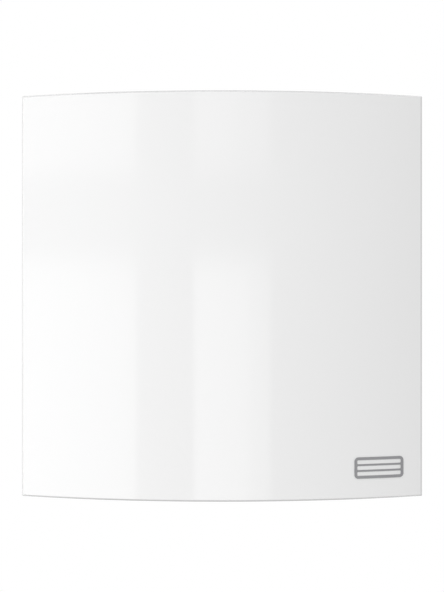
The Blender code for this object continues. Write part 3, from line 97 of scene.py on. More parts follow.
# --- sizes shared by several pieces -----------------------------------------------------------------------
PANEL_HIGH = wall_box("front_panel")[1]
CASING_HIGH = wall_box("casing")[1]
DUCT_LOW, DUCT_HIGH = wall_box("wall_duct")
COWL_HIGH = wall_box("hood_cowl")[1]
FAN_LOW, FAN_HIGH = wall_box("fan_housing")
SLEEVE_LOW, SLEEVE_HIGH = wall_box("insulation_sleeve")

PANEL_HALF = PANEL_HIGH.x
PANEL_APEX = PANEL_HIGH.z
PANEL_BOW = 24 * MM  # how far its middle stands before its side edges
PANEL_RADIUS = (PANEL_HALF**2 + PANEL_BOW**2) / (2 * PANEL_BOW)
PANEL_AXIS = PANEL_APEX - PANEL_RADIUS
PANEL_BEHIND = PANEL_RADIUS - 30 * MM  # well behind the panel's back
PANEL_RIB_AT = 36 * MM
PANEL_RIB = 1.4 * MM
STUDS = (70 * MM, 70 * MM)
STUD_RADIUS = 3.2 * MM
CLIP_BORE = STUD_RADIUS + 0.5 * MM
CLIP_RADIUS = CLIP_BORE + 1.6 * MM

CASING_FRONT = CASING_HIGH.z
CASING_HALF = CASING_HIGH.x
CASING_WALL = 2.5 * MM
CASING_INSIDE = CASING_HALF - CASING_WALL
CASING_CEILING = CASING_FRONT - CASING_WALL
CASING_MOUTH = 54 * MM
CASING_CORNER = 10 * MM
INNER_CORNER = CASING_CORNER - CASING_WALL
CONTROL_OUT = 17 * MM
ROCKER_YS = (-49 * MM, -68 * MM)
ROCKER_RADIUS = 8.4 * MM
ROCKER_AXIS_X = CASING_HALF + 1.4 * MM - ROCKER_RADIUS
BUTTON_X, LIGHT_X, RECEIVER_X = 20 * MM, 0.0, -20 * MM
LUG_X = 56 * MM
BOARD_Y = -72 * MM
BOARD_OUT = 8 * MM
BOARD_DRILLS = (44 * MM, 8 * MM)
BOARD_POSTS = [(x * 44 * MM, BOARD_Y + y * 8 * MM, 0) for x in BOTH for y in BOTH]

PLATE_HALF = CASING_INSIDE - 0.7 * MM
PLATE_DEPTH = 3 * MM
LUG_OUT = PLATE_DEPTH + 6.5 * MM
WALL_SCREWS = (73 * MM, 30 * MM)
CABLE_HOLE = (-72 * MM, -55 * MM)

DUCT_RADIUS = DUCT_HIGH.x
DUCT_BORE = DUCT_RADIUS - 2 * MM
SPIGOT_RADIUS = DUCT_BORE - GAP
SPIGOT_BORE = SPIGOT_RADIUS - 2.2 * MM
CARTRIDGE_RADIUS = FAN_HIGH.x

BLADE_YS = [44 * MM, 22 * MM, 0.0, -22 * MM, -44 * MM]
PIVOT_OUT = 17 * MM
CRANK_TURN = math.radians(130)
CRANK = Vector((math.cos(CRANK_TURN), -math.sin(CRANK_TURN))) * 8 * MM  # up, out
BLADE_END = 52.8 * MM
FRAME_HALF = (59.4 * MM, 57.6 * MM)
FRAME_WALL = 2.4 * MM
LINK_DEPTHS = (54.6 * MM, 56.1 * MM)
LEAD_NOTCH = 2.6 * MM  # half the width of the way out for the motor's lead

FAN_OUT = FAN_HIGH.z
FAN_BORE = CARTRIDGE_RADIUS - 2.8 * MM
HUB_OUT = FAN_OUT - 5.4 * MM
HUB_RADIUS = 24 * MM
HUB_DEPTH = 25 * MM

OUTER_WALL = -280 * MM
HOOD_FACE = OUTER_WALL - 2.3 * MM
HOOD_BACK = HOOD_FACE - 3 * MM
HOOD_SCREWS = (66 * MM, 66 * MM)
HOOD_LUG = (-34 * MM, HOOD_BACK - 7 * MM)  # up, out
COWL_HALF = COWL_HIGH.x
COWL_WALL = 2.2 * MM


def four(x, y):
    """The four mirrored places of (x, y), from upper left round to lower left."""
    return [(-x, y), (x, y), (x, -y), (-x, -y)]


def polar(radius, angle):
    return radius * math.cos(angle), radius * math.sin(angle)


def steps_of(start, end, count):
    """Evenly spaced values from start to end, both among them."""
    return [start + (end - start) * step / count for step in range(count + 1)]


# --- shapes -----------------------------------------------------------------------------------------------
def moved(bm, at=(0, 0, 0), turn=UPRIGHT):
    x, y, z = (Matrix.Rotation(angle, 4, letter) for angle, letter in zip(turn, "XYZ"))
    bmesh.ops.transform(bm, matrix=Matrix.Translation(at) @ z @ y @ x, verts=bm.verts)
    return bm


def pull(bm, depth):
    """Extrudes a flat shape along Z."""
    made = bmesh.ops.extrude_face_region(bm, geom=bm.faces[:])["geom"]
    lifted = [part for part in made if isinstance(part, bmesh.types.BMVert)]
    bmesh.ops.translate(bm, vec=(0, 0, depth), verts=lifted)
    bmesh.ops.recalc_face_normals(bm, faces=bm.faces)
    return bm


def plate(half_x, half_y, low, high, corner=0.0, segments=8):
    """A flat block about the Z axis, with rounded upright corners."""
    bm = bmesh.new()
    bmesh.ops.create_grid(bm, x_segments=1, y_segments=1, size=1.0)
    bmesh.ops.scale(bm, vec=(half_x, half_y, 1), verts=bm.verts)
    if corner:
        bmesh.ops.bevel(
            bm,
            geom=bm.verts[:],
            offset=corner,
            affect="VERTICES",
            segments=segments,
            profile=0.5,
            material=-1,
        )
    bmesh.ops.translate(bm, vec=(0, 0, low), verts=bm.verts)
    return pull(bm, high - low)


def block(low, high):
    """A box between two corners."""
    bm = bmesh.new()
    bmesh.ops.create_cube(bm, size=1.0)
    size = [b - a for a, b in zip(low, high)]
    middle = [(a + b) / 2 for a, b in zip(low, high)]
    bmesh.ops.transform(bm, matrix=Matrix.Translation(middle) @ Matrix.Diagonal((*size, 1)), verts=bm.verts)
    return bm


def cut_out(points, low, high):
    """A flat outline of a few points, pulled from one height to another."""
    bm = bmesh.new()
    bm.faces.new([bm.verts.new((x, y, low)) for x, y in points])
    return pull(bm, high - low)


def capsule(start, end, half_width, low, high, segments=12):
    """A bar with round ends, from one centre to the other."""
    length = math.dist(start, end)
    bm = plate(length / 2 + half_width, half_width, low, high, half_width * 0.998, segments)
    middle = [(a + b) / 2 for a, b in zip(start, end)]
    return moved(bm, (*middle, 0), (0, 0, math.atan2(end[1] - start[1], end[0] - start[0])))


def bar(radius, low, high, segments=32):
    """A round bar along Z."""
    bm = bmesh.new()
    bmesh.ops.create_cone(
        bm, cap_ends=True, segments=segments, radius1=radius, radius2=radius, depth=high - low
    )
    bmesh.ops.translate(bm, vec=(0, 0, (low + high) / 2), verts=bm.verts)
    return bm


def lathe(profile, segments=96):
    """A line of (radius, height) spun about Z. It closes on itself unless it starts and ends on the axis."""
    bm = bmesh.new()
    points = [bm.verts.new((r, 0, z)) for r, z in profile]
    on_axis = profile[0][0] == 0 and profile[-1][0] == 0
    following = points[1:] if on_axis else points[1:] + points[:1]
    edges = [bm.edges.new(pair) for pair in zip(points, following)]
    bmesh.ops.spin(
        bm,
        geom=points + edges,
        cent=(0, 0, 0),
        axis=(0, 0, 1),
        angle=2 * math.pi,
        steps=segments,
        use_merge=True,
    )
    bmesh.ops.remove_doubles(bm, verts=bm.verts, dist=1e-7)
    bmesh.ops.recalc_face_normals(bm, faces=bm.faces)
    return bm


def slice_off(bm, place, normal):
    """Cuts away what lies beyond a plane, and closes the cut."""
    geometry = bm.verts[:] + bm.edges[:] + bm.faces[:]
    bmesh.ops.bisect_plane(bm, geom=geometry, plane_co=place, plane_no=normal, clear_outer=True)
    bmesh.ops.holes_fill(bm, edges=[edge for edge in bm.edges if edge.is_boundary], sides=0)


def arch(inner, outer, half_x, half_y, segments=96, slope=None):
    """A bowed slab between two radii about the panel's axis. Its front edges may fall back in a slope."""
    bm = bmesh.new()
    width, depth = slope or (0.0, 0.0)
    reach = math.asin(min(1.0, (half_x + 4 * MM) / inner))
    section = [(inner, -half_y), (outer - depth, -half_y)] + ([(outer, width - half_y)] if slope else [])
    section += [(r, -y) for r, y in section[::-1]]
    points = [bm.verts.new((0, y, r)) for r, y in section]
    edges = [bm.edges.new(pair) for pair in zip(points, points[1:] + points[:1])]
    bmesh.ops.rotate(bm, cent=(0, 0, 0), matrix=Matrix.Rotation(-reach, 3, "Y"), verts=bm.verts)
    bmesh.ops.spin(bm, geom=points + edges, cent=(0, 0, 0), axis=(0, 1, 0), angle=2 * reach, steps=segments)
    bmesh.ops.translate(bm, vec=(0, 0, PANEL_AXIS), verts=bm.verts)
    bmesh.ops.remove_doubles(bm, verts=bm.verts, dist=1e-7)
    for side in BOTH:
        slice_off(bm, (side * half_x, 0, 0), (side, 0, 0))
        if slope:
            start = half_x - width
            level = PANEL_AXIS + math.sqrt(outer**2 - start**2)
            slice_off(bm, (side * start, 0, level), (side * depth, 0, width))
    bmesh.ops.recalc_face_normals(bm, faces=bm.faces)
    return bm


def rounded(bm, width, segments=3, angle=35, where=None):
    """Rounds every edge sharper than the angle, or only those for which where(edge) holds."""
    limit = math.radians(angle)
    edges = [e for e in bm.edges if len(e.link_faces) == 2 and e.calc_face_angle(0) > limit]
    edges = [e for e in edges if where is None or where(e)]
    bmesh.ops.bevel(
        bm,
        geom=edges,
        offset=width,
        affect="EDGES",
        segments=segments,
        profile=0.5,
        material=-1,
        clamp_overlap=True,
    )
    bmesh.ops.connect_verts_nonplanar(bm, angle_limit=0.001, faces=bm.faces)
    return bm


def together(shapes):
    """Several shapes that don't touch, as one."""
    bm = bmesh.new()
    for shape in shapes:
        mesh = bpy.data.meshes.new("part")
        shape.to_mesh(mesh)
        shape.free()
        bm.from_mesh(mesh)
        bpy.data.meshes.remove(mesh)
    return bm


def as_object(name, bm):
    mesh = bpy.data.meshes.new(name)
    bm.to_mesh(mesh)
    bm.free()
    obj = bpy.data.objects.new(name, mesh)
    bpy.context.scene.collection.objects.link(obj)
    return obj


def combined(bm, operation, tools):
    """The shape after each tool has been cut from it, joined to it or kept in common with it."""
    base = as_object("work", bm)
    helpers = [as_object("tool", tool) for tool in tools]
    for helper in helpers:
        modifier = base.modifiers.new("work", "BOOLEAN")
        modifier.operation = operation
        modifier.solver = "EXACT"
        modifier.object = helper
    bpy.context.view_layer.update()
    evaluated = base.evaluated_get(bpy.context.evaluated_depsgraph_get())
    made = bmesh.new()
    made.from_mesh(evaluated.to_mesh())
    evaluated.to_mesh_clear()
    for obj in [base, *helpers]:
        mesh = obj.data
        bpy.data.objects.remove(obj)
        bpy.data.meshes.remove(mesh)
    return made


def cut(bm, *tools):
    return combined(bm, "DIFFERENCE", tools)


def join(bm, *tools):
    return combined(bm, "UNION", tools)


def common(bm, *tools):
    return combined(bm, "INTERSECT", tools)


def hole(radius, low, high, chamfer=0.3 * MM, segments=32):
    """A tool that drills a round hole between two faces and breaks both of its edges."""
    far = 2 * MM
    profile = [
        (0, low - far),
        (radius + chamfer + far, low - far),
        (radius + chamfer, low),
        (radius, low + chamfer),
        (radius, high - chamfer),
        (radius + chamfer, high),
        (radius + chamfer + far, high + far),
        (0, high + far),
    ]
    return lathe(profile, segments)


def keep(name, bm, finish, node, body="unit", angle=33):
    """Turns a finished shape into a piece of the model, which stands for the solid of that name."""
    bmesh.ops.transform(bm, matrix=WALL_FRAME, verts=bm.verts)
    obj = as_object(name, bm)
    obj.data.materials.clear()
    obj.data.materials.append(finish)
    obj.data.shade_smooth()
    obj.data.set_sharp_from_angle(angle=math.radians(angle))
    even = obj.modifiers.new("even_shading", "WEIGHTED_NORMAL")
    even.keep_sharp = True
    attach(obj, body)
    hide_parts(node)


SLOTS = {part["node"]: part["material_slot"] for part in FRAME["record"]["subparts"]}


# --- finishes ---------------------------------------------------------------------------------------------
class Value:
    """A node's output. Sums and products of values add Math nodes."""

    def __init__(self, maker, socket):
        self.maker, self.socket = maker, socket

    def _math(self, operation, *values, clamp=False):
        return self.maker.node("Math", {"operation": operation, "use_clamp": clamp}, *values)

    def __add__(self, other):
        return self._math("ADD", self, other)

    def __sub__(self, other):
        return self._math("SUBTRACT", self, other)

    def __rsub__(self, other):
        return self._math("SUBTRACT", other, self)

    def __mul__(self, other):
        return self._math("MULTIPLY", self, other)

    def power(self, exponent):
        return self._math("POWER", self, exponent)

    def wave(self, size):
        """A sine of the value, one cycle for each size, from -1 to 1."""
        return self._math("SINE", self * (2 * math.pi / size))

    def held(self):
        """The value kept between 0 and 1."""
        return self._math("ADD", self, 0.0, clamp=True)

    def ramp(self, low, high):
        """0 below low, 1 above high, smooth between."""
        return self.maker.node("MapRange", {"interpolation_type": "SMOOTHSTEP"}, self, low, high, 0.0, 1.0)

    __radd__ = __add__
    __rmul__ = __mul__


class Finish:
    """A material whose nodes are written as expressions."""

    def __init__(self, name):
        self.material = bpy.data.materials.new(name)
        self.material.use_nodes = True
        self.tree = self.material.node_tree
        self.tree.nodes.clear()
        self.output = self.tree.nodes.new("ShaderNodeOutputMaterial")
        self.place = self.node("TexCoord", {}, output="Object")

    def node(self, kind, settings, *values, output=0, **named):
        """Adds a node: its settings first, then its sockets' values or links, in order or by name."""
        made = self.tree.nodes.new(f"ShaderNode{kind}")
        for name, setting in settings.items():
            setattr(made, name, setting)
        chosen = list(zip([socket for socket in made.inputs if socket.enabled], values))
        chosen += [(made.inputs[name.replace("_", " ")], value) for name, value in named.items()]
        for socket, value in chosen:
            if isinstance(value, Value):
                self.tree.links.new(value.socket, socket)
            elif value is not None:
                socket.default_value = value
        outputs = [socket for socket in made.outputs if socket.enabled]
        return Value(self, made.outputs[output] if isinstance(output, str) else outputs[output])

    def noise(self, scale, detail=2.0, roughness=0.5, place=None):
        return self.node("TexNoise", {}, place or self.place, Scale=scale, Detail=detail, Roughness=roughness)

    def cells(self, scale, feature="F1"):
        return self.node("TexVoronoi", {"feature": feature}, self.place, Scale=scale)

    def axes(self):
        """The place's X, Y and Z as three values."""
        first = self.node("SeparateXYZ", {}, self.place)
        return [Value(self, socket) for socket in first.socket.node.outputs]

    def stretched(self, scale):
        return self.node("Mapping", {}, self.place, Scale=scale)

    def between(self, low, high, share):
        """A colour that goes from one to the other with the share."""
        low, high = ((*c, 1.0) if isinstance(c, tuple) else c for c in (low, high))
        return self.node("Mix", {"data_type": "RGBA"}, share, low, high)

    def bump(self, height, distance, strength=1.0):
        return self.node("Bump", {}, Strength=strength, Distance=distance, Height=height)

    def surface(self, colour, roughness, normal=None, **sockets):
        """The principled shader, linked to the output."""
        sockets = {"Base_Color": colour, "Roughness": roughness, "Normal": normal, **sockets}
        shader = self.node("BsdfPrincipled", {}, **sockets)
        self.tree.links.new(shader.socket, self.output.inputs["Surface"])
        return self.material


def tone(colour, factor):
    return tuple(min(1.0, c * factor) for c in colour)


def moulded(name, colour, roughness, grain=2200.0, depth=0.012 * MM):
    """Injection-moulded plastic: a fine spark-eroded grain and a slight drift of colour and gloss."""
    f = Finish(name)
    drift = f.noise(18.0, 3.0)
    fine = f.noise(grain, 2.0)
    worn = f.noise(160.0, 4.0, 0.6)
    colour = f.between(tone(colour, 0.975), tone(colour, 1.02), drift)
    gloss = roughness + (drift - 0.5) * 0.05 + (worn - 0.5) * 0.06
    return f.surface(colour, gloss.held(), f.bump(fine + worn * 0.4, depth))


def polished_white(name, colour, roughness):
    """High-gloss moulded skin: a faint long wave under the shine, and almost no drift of colour."""
    f = Finish(name)
    drift = f.noise(9.0, 2.0)
    wave = f.noise(70.0, 1.0)
    dust = f.noise(2600.0, 2.0).ramp(0.66, 0.8)
    base = f.between(tone(colour, 0.992), tone(colour, 1.004), drift)
    gloss = roughness + (drift - 0.5) * 0.02 + dust * 0.04
    return f.surface(base, gloss.held(), f.bump(wave, 0.02 * MM, 0.25), IOR=1.5)


def printed(name, colour):
    """Pad-printed ink: matt, with a trace of the screen's grain."""
    f = Finish(name)
    grain = f.noise(5200.0, 3.0)
    base = f.between(tone(colour, 0.94), tone(colour, 1.06), grain)
    return f.surface(base, 0.42 + (grain - 0.5) * 0.1, f.bump(grain, 0.004 * MM))


def zinc_plated(name, colour, roughness=0.3):
    """Plated steel: turning marks, mottled passivation and fine pits."""
    f = Finish(name)
    mottle = f.noise(420.0, 4.0, 0.65)
    lines = f.noise(90.0, 2.0, place=f.stretched((1.0, 60.0, 1.0)))
    base = f.between(tone(colour, 0.86), tone(colour, 1.08), mottle)
    gloss = roughness + (mottle - 0.5) * 0.16 + (lines - 0.5) * 0.1
    return f.surface(base, gloss.held(), f.bump(lines + mottle * 0.5, 0.006 * MM), Metallic=1.0)


def soft_rubber(name, colour):
    """Moulded rubber: a dusty bloom over a matt black."""
    f = Finish(name)
    bloom = f.noise(130.0, 4.0, 0.6)
    fine = f.noise(3600.0, 2.0)
    base = f.between(tone(colour, 0.8), tone(colour, 1.9), bloom.power(2.0))
    return f.surface(base, 0.72 + (bloom - 0.5) * 0.2, f.bump(fine + bloom, 0.01 * MM))


def bead_foam(name, colour, bead):
    """Moulded bead foam: pressed cells with dark seams between them and open pores."""
    f = Finish(name)
    seams = f.cells(1.0 / bead, "DISTANCE_TO_EDGE").ramp(0.0, 0.11)
    tint = f.cells(1.0 / bead)
    pores = f.noise(1900.0, 3.0)
    base = f.between(tone(colour, 0.45), tone(colour, 1.25), seams * (0.55 + tint * 0.5))
    return f.surface(base, 0.93 + (pores - 0.5) * 0.08, f.bump(seams + pores * 0.2, 0.12 * MM))


def fleece(name, colour):
    """Needled filter fleece: long crossed fibres."""
    f = Finish(name)
    one = f.noise(260.0, 5.0, 0.7, f.stretched((1.0, 1.0, 9.0)))
    two = f.noise(300.0, 5.0, 0.7, f.stretched((8.0, 1.0, 1.0)))
    fibres = (one + two) * 0.5
    base = f.between(tone(colour, 0.62), tone(colour, 1.16), fibres.ramp(0.35, 0.62))
    return f.surface(base, 0.97 - fibres * 0.06, f.bump(fibres, 0.35 * MM))


def fired_clay(name, colour):
    """Extruded and fired ceramic: die lines, iron specks and chalky roughness."""
    f = Finish(name)
    body = f.noise(60.0, 4.0, 0.6)
    speck = f.cells(900.0).ramp(0.10, 0.16)
    lines = f.noise(700.0, 2.0, place=f.stretched((1.0, 0.02, 1.0)))
    base = f.between(tone(colour, 0.82), tone(colour, 1.1), body)
    base = f.between((0.28, 0.20, 0.13), base, speck)
    return f.surface(base, 0.86 + (body - 0.5) * 0.1, f.bump(lines + body * 0.6, 0.03 * MM))


def extruded_pipe(name, colour):
    """Extruded plastic pipe: draw lines along it and handling scuffs."""
    f = Finish(name)
    lines = f.noise(520.0, 3.0, 0.6, f.stretched((1.0, 0.012, 1.0)))
    scuffs = f.noise(34.0, 5.0, 0.72).ramp(0.56, 0.72)
    drift = f.noise(7.0, 2.0)
    base = f.between(tone(colour, 0.95), tone(colour, 1.03), drift)
    base = f.between(base, tone(colour, 0.90), scuffs * 0.5)
    gloss = 0.40 + lines * 0.1 + scuffs * 0.12
    return f.surface(base, gloss.held(), f.bump(lines, 0.03 * MM))


def weathered(name, colour, roughness):
    """Outdoor plastic: a coarse grain, with faint rain streaks that run down it."""
    f = Finish(name)
    grain = f.noise(1300.0, 3.0)
    streaks = f.noise(95.0, 4.0, 0.62, f.stretched((1.0, 1.0, 0.05))).ramp(0.52, 0.78)
    grime = f.noise(24.0, 5.0, 0.7).ramp(0.5, 0.85)
    base = f.between(tone(colour, 1.02), tone(colour, 0.86), (streaks * grime * 0.8).held())
    gloss = roughness + grime * 0.12 + (grain - 0.5) * 0.06
    return f.surface(base, gloss.held(), f.bump(grain, 0.03 * MM))


def circuit_board(name, colour):
    """Solder mask over copper tracks."""
    f = Finish(name)
    layout = {"Vector": f.place, "Scale": 260.0, "Mortar_Size": 0.06}
    tracks = f.node("TexBrick", {"offset": 0.5, "squash": 1.0}, output="Fac", **layout)
    fibre = f.noise(2400.0, 2.0)
    base = f.between(tone(colour, 0.85), tone(colour, 1.9), tracks * 0.6 + fibre * 0.1)
    return f.surface(base, 0.36 + (fibre - 0.5) * 0.08, f.bump(tracks, 0.02 * MM))


def laminated(name, colour):
    """Stacked steel sheets: fine dark joints every half millimetre along the stack."""
    f = Finish(name)
    along = f.axes()[1]
    sheets = (along.wave(0.5 * MM) * 0.5 + 0.5).ramp(0.0, 0.35)
    tarnish = f.noise(350.0, 4.0, 0.6)
    base = f.between(tone(colour, 0.35), tone(colour, 1.05), (sheets * 0.7 + tarnish * 0.3).held())
    return f.surface(base, (0.5 - sheets * 0.15).held(), f.bump(sheets, 0.05 * MM), Metallic=1.0)


def wound_copper(name, colour):
    """Enamelled copper wire, wound in close turns outwards from the shaft."""
    f = Finish(name)
    x, _, z = f.axes()
    turns = (x * x + z * z).power(0.5).wave(0.55 * MM) * 0.5 + 0.5
    heat = f.noise(300.0, 3.0)
    base = f.between(tone(colour, 0.55), tone(colour, 1.15), (turns * 0.7 + heat * 0.3).held())
    return f.surface(base, 0.28 + heat * 0.12, f.bump(turns, 0.12 * MM), Metallic=1.0)


def ferrite(name, colour):
    """Pressed magnet: a dark metallic grain."""
    f = Finish(name)
    grain = f.noise(1500.0, 4.0, 0.7)
    base = f.between(tone(colour, 0.7), tone(colour, 1.5), grain)
    return f.surface(base, 0.5 + (grain - 0.5) * 0.2, f.bump(grain, 0.02 * MM), Metallic=0.5)


def lens(name, colour, roughness):
    """Clear or smoked plastic that lets light through."""
    f = Finish(name)
    flow = f.noise(240.0, 2.0)
    base = f.between(tone(colour, 0.9), tone(colour, 1.1), flow)
    return f.surface(
        base, roughness + flow * 0.04, f.bump(flow, 0.005 * MM), Transmission_Weight=0.55, IOR=1.49
    )


FINISHES = {}


def make_finishes(settings):
    """Fills FINISHES. Most of its names are the record's material slots."""
    white = tuple(settings.panel_white)
    FINISHES.update(
        gloss_white=polished_white("gloss_white", white, settings.panel_roughness),
        satin_white=moulded("satin_white", tuple(settings.casing_white), 0.36),
        grey_print=printed("grey_print", tuple(settings.print_grey)),
        grey_plastic=moulded("grey_plastic", (0.40, 0.41, 0.42), 0.5, 1500.0, 0.02 * MM),
        black_plastic=moulded("black_plastic", (0.028, 0.029, 0.032), 0.46, 1300.0, 0.025 * MM),
        steel=zinc_plated("steel", (0.66, 0.66, 0.68)),
        laminations=laminated("laminations", (0.42, 0.42, 0.44)),
        capacitor_blue=moulded("capacitor_blue", (0.02, 0.03, 0.09), 0.3, 1800.0, 0.006 * MM),
        copper=wound_copper("copper", (0.72, 0.33, 0.16)),
        magnet=ferrite("magnet", (0.10, 0.10, 0.11)),
        rubber=soft_rubber("rubber", (0.03, 0.03, 0.031)),
        foam=bead_foam("foam", (0.13, 0.135, 0.145), 3.4 * MM),
        filter_fleece=fleece("filter_fleece", (0.74, 0.77, 0.80)),
        ceramic=fired_clay("ceramic", (0.70, 0.61, 0.49)),
        board_green=circuit_board("board_green", (0.02, 0.17, 0.07)),
        smoked_lens=lens("smoked_lens", (0.05, 0.015, 0.02), 0.08),
        clear_lens=lens("clear_lens", (0.78, 0.88, 0.82), 0.12),
        duct_white=extruded_pipe("duct_white", (0.70, 0.71, 0.70)),
        cowl_white=weathered("cowl_white", (0.78, 0.78, 0.765), 0.42),
    )


# --- front panel ------------------------------------------------------------------------------------------
class VENTILATOR_OT_front_panel(bpy.types.Operator):
    """Builds the bowed front panel with its rim, ribs and studs"""

    bl_idname = "ventilator.front_panel"
    bl_label = "Front Panel"

    def execute(self, context):
        size = context.scene.ventilator_panel
        slope = (size.slope_width, size.slope_depth)
        skin = arch(PANEL_RADIUS - size.rim, PANEL_RADIUS, PANEL_HALF, PANEL_HALF, size.segments, slope)
        rounded(skin, size.edge, 3, 24)
        inside = PANEL_HALF - 2 * MM
        hollow = arch(PANEL_BEHIND, PANEL_RADIUS - size.wall, inside, inside, size.segments)
        far = 2 * PANEL_HALF
        walls = [moved(bar(STUD_RADIUS + 1.6 * MM, 0, far, 48), (x, y, 0)) for x, y in four(*STUDS)]
        for side in BOTH:
            low, high = side * PANEL_RIB_AT - PANEL_RIB / 2, side * PANEL_RIB_AT + PANEL_RIB / 2
            walls.append(block((low, -far, 0), (high, far, far)))
            walls.append(block((-far, low, 0), (far, high, far)))
        skin = cut(skin, cut(hollow, *walls))
        skin = join(skin, *self.studs(size))
        keep("panel_skin", skin, FINISHES["gloss_white"], "front_panel", "panel")
        return {"FINISHED"}

    @staticmethod
    def studs(size):
        """Four studs with tapered tips, each held up by four gussets."""
        root = PANEL_AXIS + math.sqrt((PANEL_RADIUS - size.wall / 2) ** 2 - STUDS[0] ** 2)
        tip = CASING_FRONT - 10 * MM
        profile = [
            (0, tip),
            (1.5 * MM, tip),
            (2.2 * MM, tip + 0.7 * MM),
            (STUD_RADIUS - 0.2 * MM, tip + 3 * MM),
            (STUD_RADIUS - 0.2 * MM, tip + 5.4 * MM),
            (STUD_RADIUS - 0.7 * MM, tip + 6 * MM),
            (STUD_RADIUS - 0.7 * MM, tip + 7.4 * MM),
            (STUD_RADIUS, tip + 8 * MM),
            (STUD_RADIUS, root),
            (0, root),
        ]
        made = []
        inside = PANEL_HALF - MM
        fin_side = [(2 * MM, 46 * MM), (9 * MM, 60 * MM), (2 * MM, 60 * MM)]
        for x, y in four(*STUDS):
            made.append(moved(lathe(profile, 40), (x, y, 0)))
            under = arch(PANEL_BEHIND, PANEL_RADIUS - 1.2 * MM, inside, inside, size.segments)
            for quarter in range(4):
                turn = (0, 0, quarter * math.pi / 2 + math.pi / 4)
                fin = moved(cut_out(fin_side, -0.6 * MM, 0.6 * MM), turn=DOWNWARDS)
                made.append(common(moved(fin, (x, y, 0), turn), under.copy()))
            under.free()
        return made


class VENTILATOR_OT_sign(bpy.types.Operator):
    """Prints the small louvre sign on the panel's lower right corner"""

    bl_idname = "ventilator.sign"
    bl_label = "Printed Sign"

    def execute(self, context):
        low, high = wall_box("panel_badge")
        middle, half = (low + high) / 2, (high - low) / 2
        line, rib, inside = 1.4 * MM, 0.9 * MM, PANEL_HALF - MM
        ink = arch(PANEL_RADIUS + 0.05 * MM, PANEL_RADIUS + 0.3 * MM, inside, inside, 192)
        outline = plate(half.x, half.y, 0, 2 * PANEL_APEX, 2 * MM, 10)
        ink = common(ink, moved(outline, (middle.x, middle.y, 0)))
        pitch = (2 * (half.y - line) + rib) / 3
        windows = []
        for step in (-1, 0, 1):
            window = plate(half.x - line, (pitch - rib) / 2, 0, 2 * PANEL_APEX, 0.5 * MM, 5)
            windows.append(moved(window, (middle.x, middle.y + step * pitch, 0)))
        keep("panel_sign", cut(ink, *windows), FINISHES["grey_print"], "panel_badge", "panel", angle=50)
        return {"FINISHED"}


# --- indoor casing ----------------------------------------------------------------------------------------
class VENTILATOR_OT_casing(bpy.types.Operator):
    """Builds the indoor casing with its openings for the shutter, sockets and controls"""

    bl_idname = "ventilator.casing"
    bl_label = "Casing"

    def execute(self, context):
        size = context.scene.ventilator_casing
        shell = plate(CASING_HALF, CASING_HALF, 0.5 * MM, CASING_FRONT, CASING_CORNER, 10)
        rounded(shell, size.edge, 5, 50, lambda e: all(v.co.z > CASING_FRONT - MM for v in e.verts))
        tools = [plate(CASING_INSIDE, CASING_INSIDE, -8 * MM, CASING_CEILING, INNER_CORNER, 10)]
        through = (CASING_CEILING - 8 * MM, CASING_FRONT + 8 * MM)
        tools.append(plate(CASING_MOUTH, CASING_MOUTH, *through, 3 * MM, 6))
        for x, y in four(*STUDS):
            tools.append(
                moved(hole(CLIP_RADIUS + GAP, CASING_CEILING, CASING_FRONT, 0.3 * MM, 40), (x, y, 0))
            )
        for y in ROCKER_YS:
            slot = plate(3.8 * MM, 7.7 * MM, CASING_INSIDE - 2 * MM, CASING_HALF + 2 * MM, 1.2 * MM, 5)
            tools.append(moved(moved(slot, turn=ALONG_X), (0, y, CONTROL_OUT)))
        below = (CASING_INSIDE, CASING_HALF)
        for x, out, radius in (
            (BUTTON_X, CONTROL_OUT, 4.05 * MM),
            (LIGHT_X, CONTROL_OUT, 2.1 * MM),
            (-LUG_X, LUG_OUT, 1.8 * MM),
            (LUG_X, LUG_OUT, 1.8 * MM),
        ):
            tools.append(moved(hole(radius, *below, 0.25 * MM), (x, 0, out), DOWNWARDS))
        window = plate(4.3 * MM, 3.1 * MM, CASING_INSIDE - MM, CASING_HALF + MM, MM, 5)
        tools.append(moved(window, (RECEIVER_X, 0, CONTROL_OUT), DOWNWARDS))
        shell = cut(shell, *tools)
        lip = CASING_MOUTH + 0.2 * MM

        def on_mouth(edge):
            on_front = all(abs(v.co.z - CASING_FRONT) < 1e-6 for v in edge.verts)
            return on_front and all(max(abs(v.co.x), abs(v.co.y)) < lip for v in edge.verts)

        rounded(shell, 0.7 * MM, 3, 50, on_mouth)
        keep("casing_shell", shell, FINISHES["satin_white"], "casing")
        return {"FINISHED"}


class VENTILATOR_OT_sockets(bpy.types.Operator):
    """Builds the four sprung sockets that hold the panel's studs"""

    bl_idname = "ventilator.sockets"
    bl_label = "Panel Sockets"

    def execute(self, context):
        low, seat = CASING_FRONT - 11.5 * MM, CASING_FRONT + GAP
        top = seat + 1.2 * MM
        flange = CLIP_RADIUS + 2.4 * MM
        profile = [
            (CLIP_BORE, low),
            (CLIP_RADIUS - 0.5 * MM, low),
            (CLIP_RADIUS, low + 2 * MM),
            (CLIP_RADIUS, seat),
            (flange, seat),
            (flange, top - 0.5 * MM),
            (flange - 0.15 * MM, top - 0.15 * MM),
            (flange - 0.5 * MM, top),
            (CLIP_BORE + 0.7 * MM, top),
            (CLIP_BORE + 0.2 * MM, top - 0.2 * MM),
            (CLIP_BORE, top - 0.7 * MM),
        ]
        for number, (x, y) in enumerate(four(*STUDS), 1):
            slits = [
                block((-a, -b, low - MM), (a, b, CASING_CEILING - 2 * MM))
                for a, b in ((0.7 * MM, 12 * MM), (12 * MM, 0.7 * MM))
            ]
            socket = moved(cut(lathe(profile, 64), *slits), (x, y, 0))
            keep(f"stud_socket_{number}", socket, FINISHES["grey_plastic"], f"panel_clip_{number}")
        return {"FINISHED"}


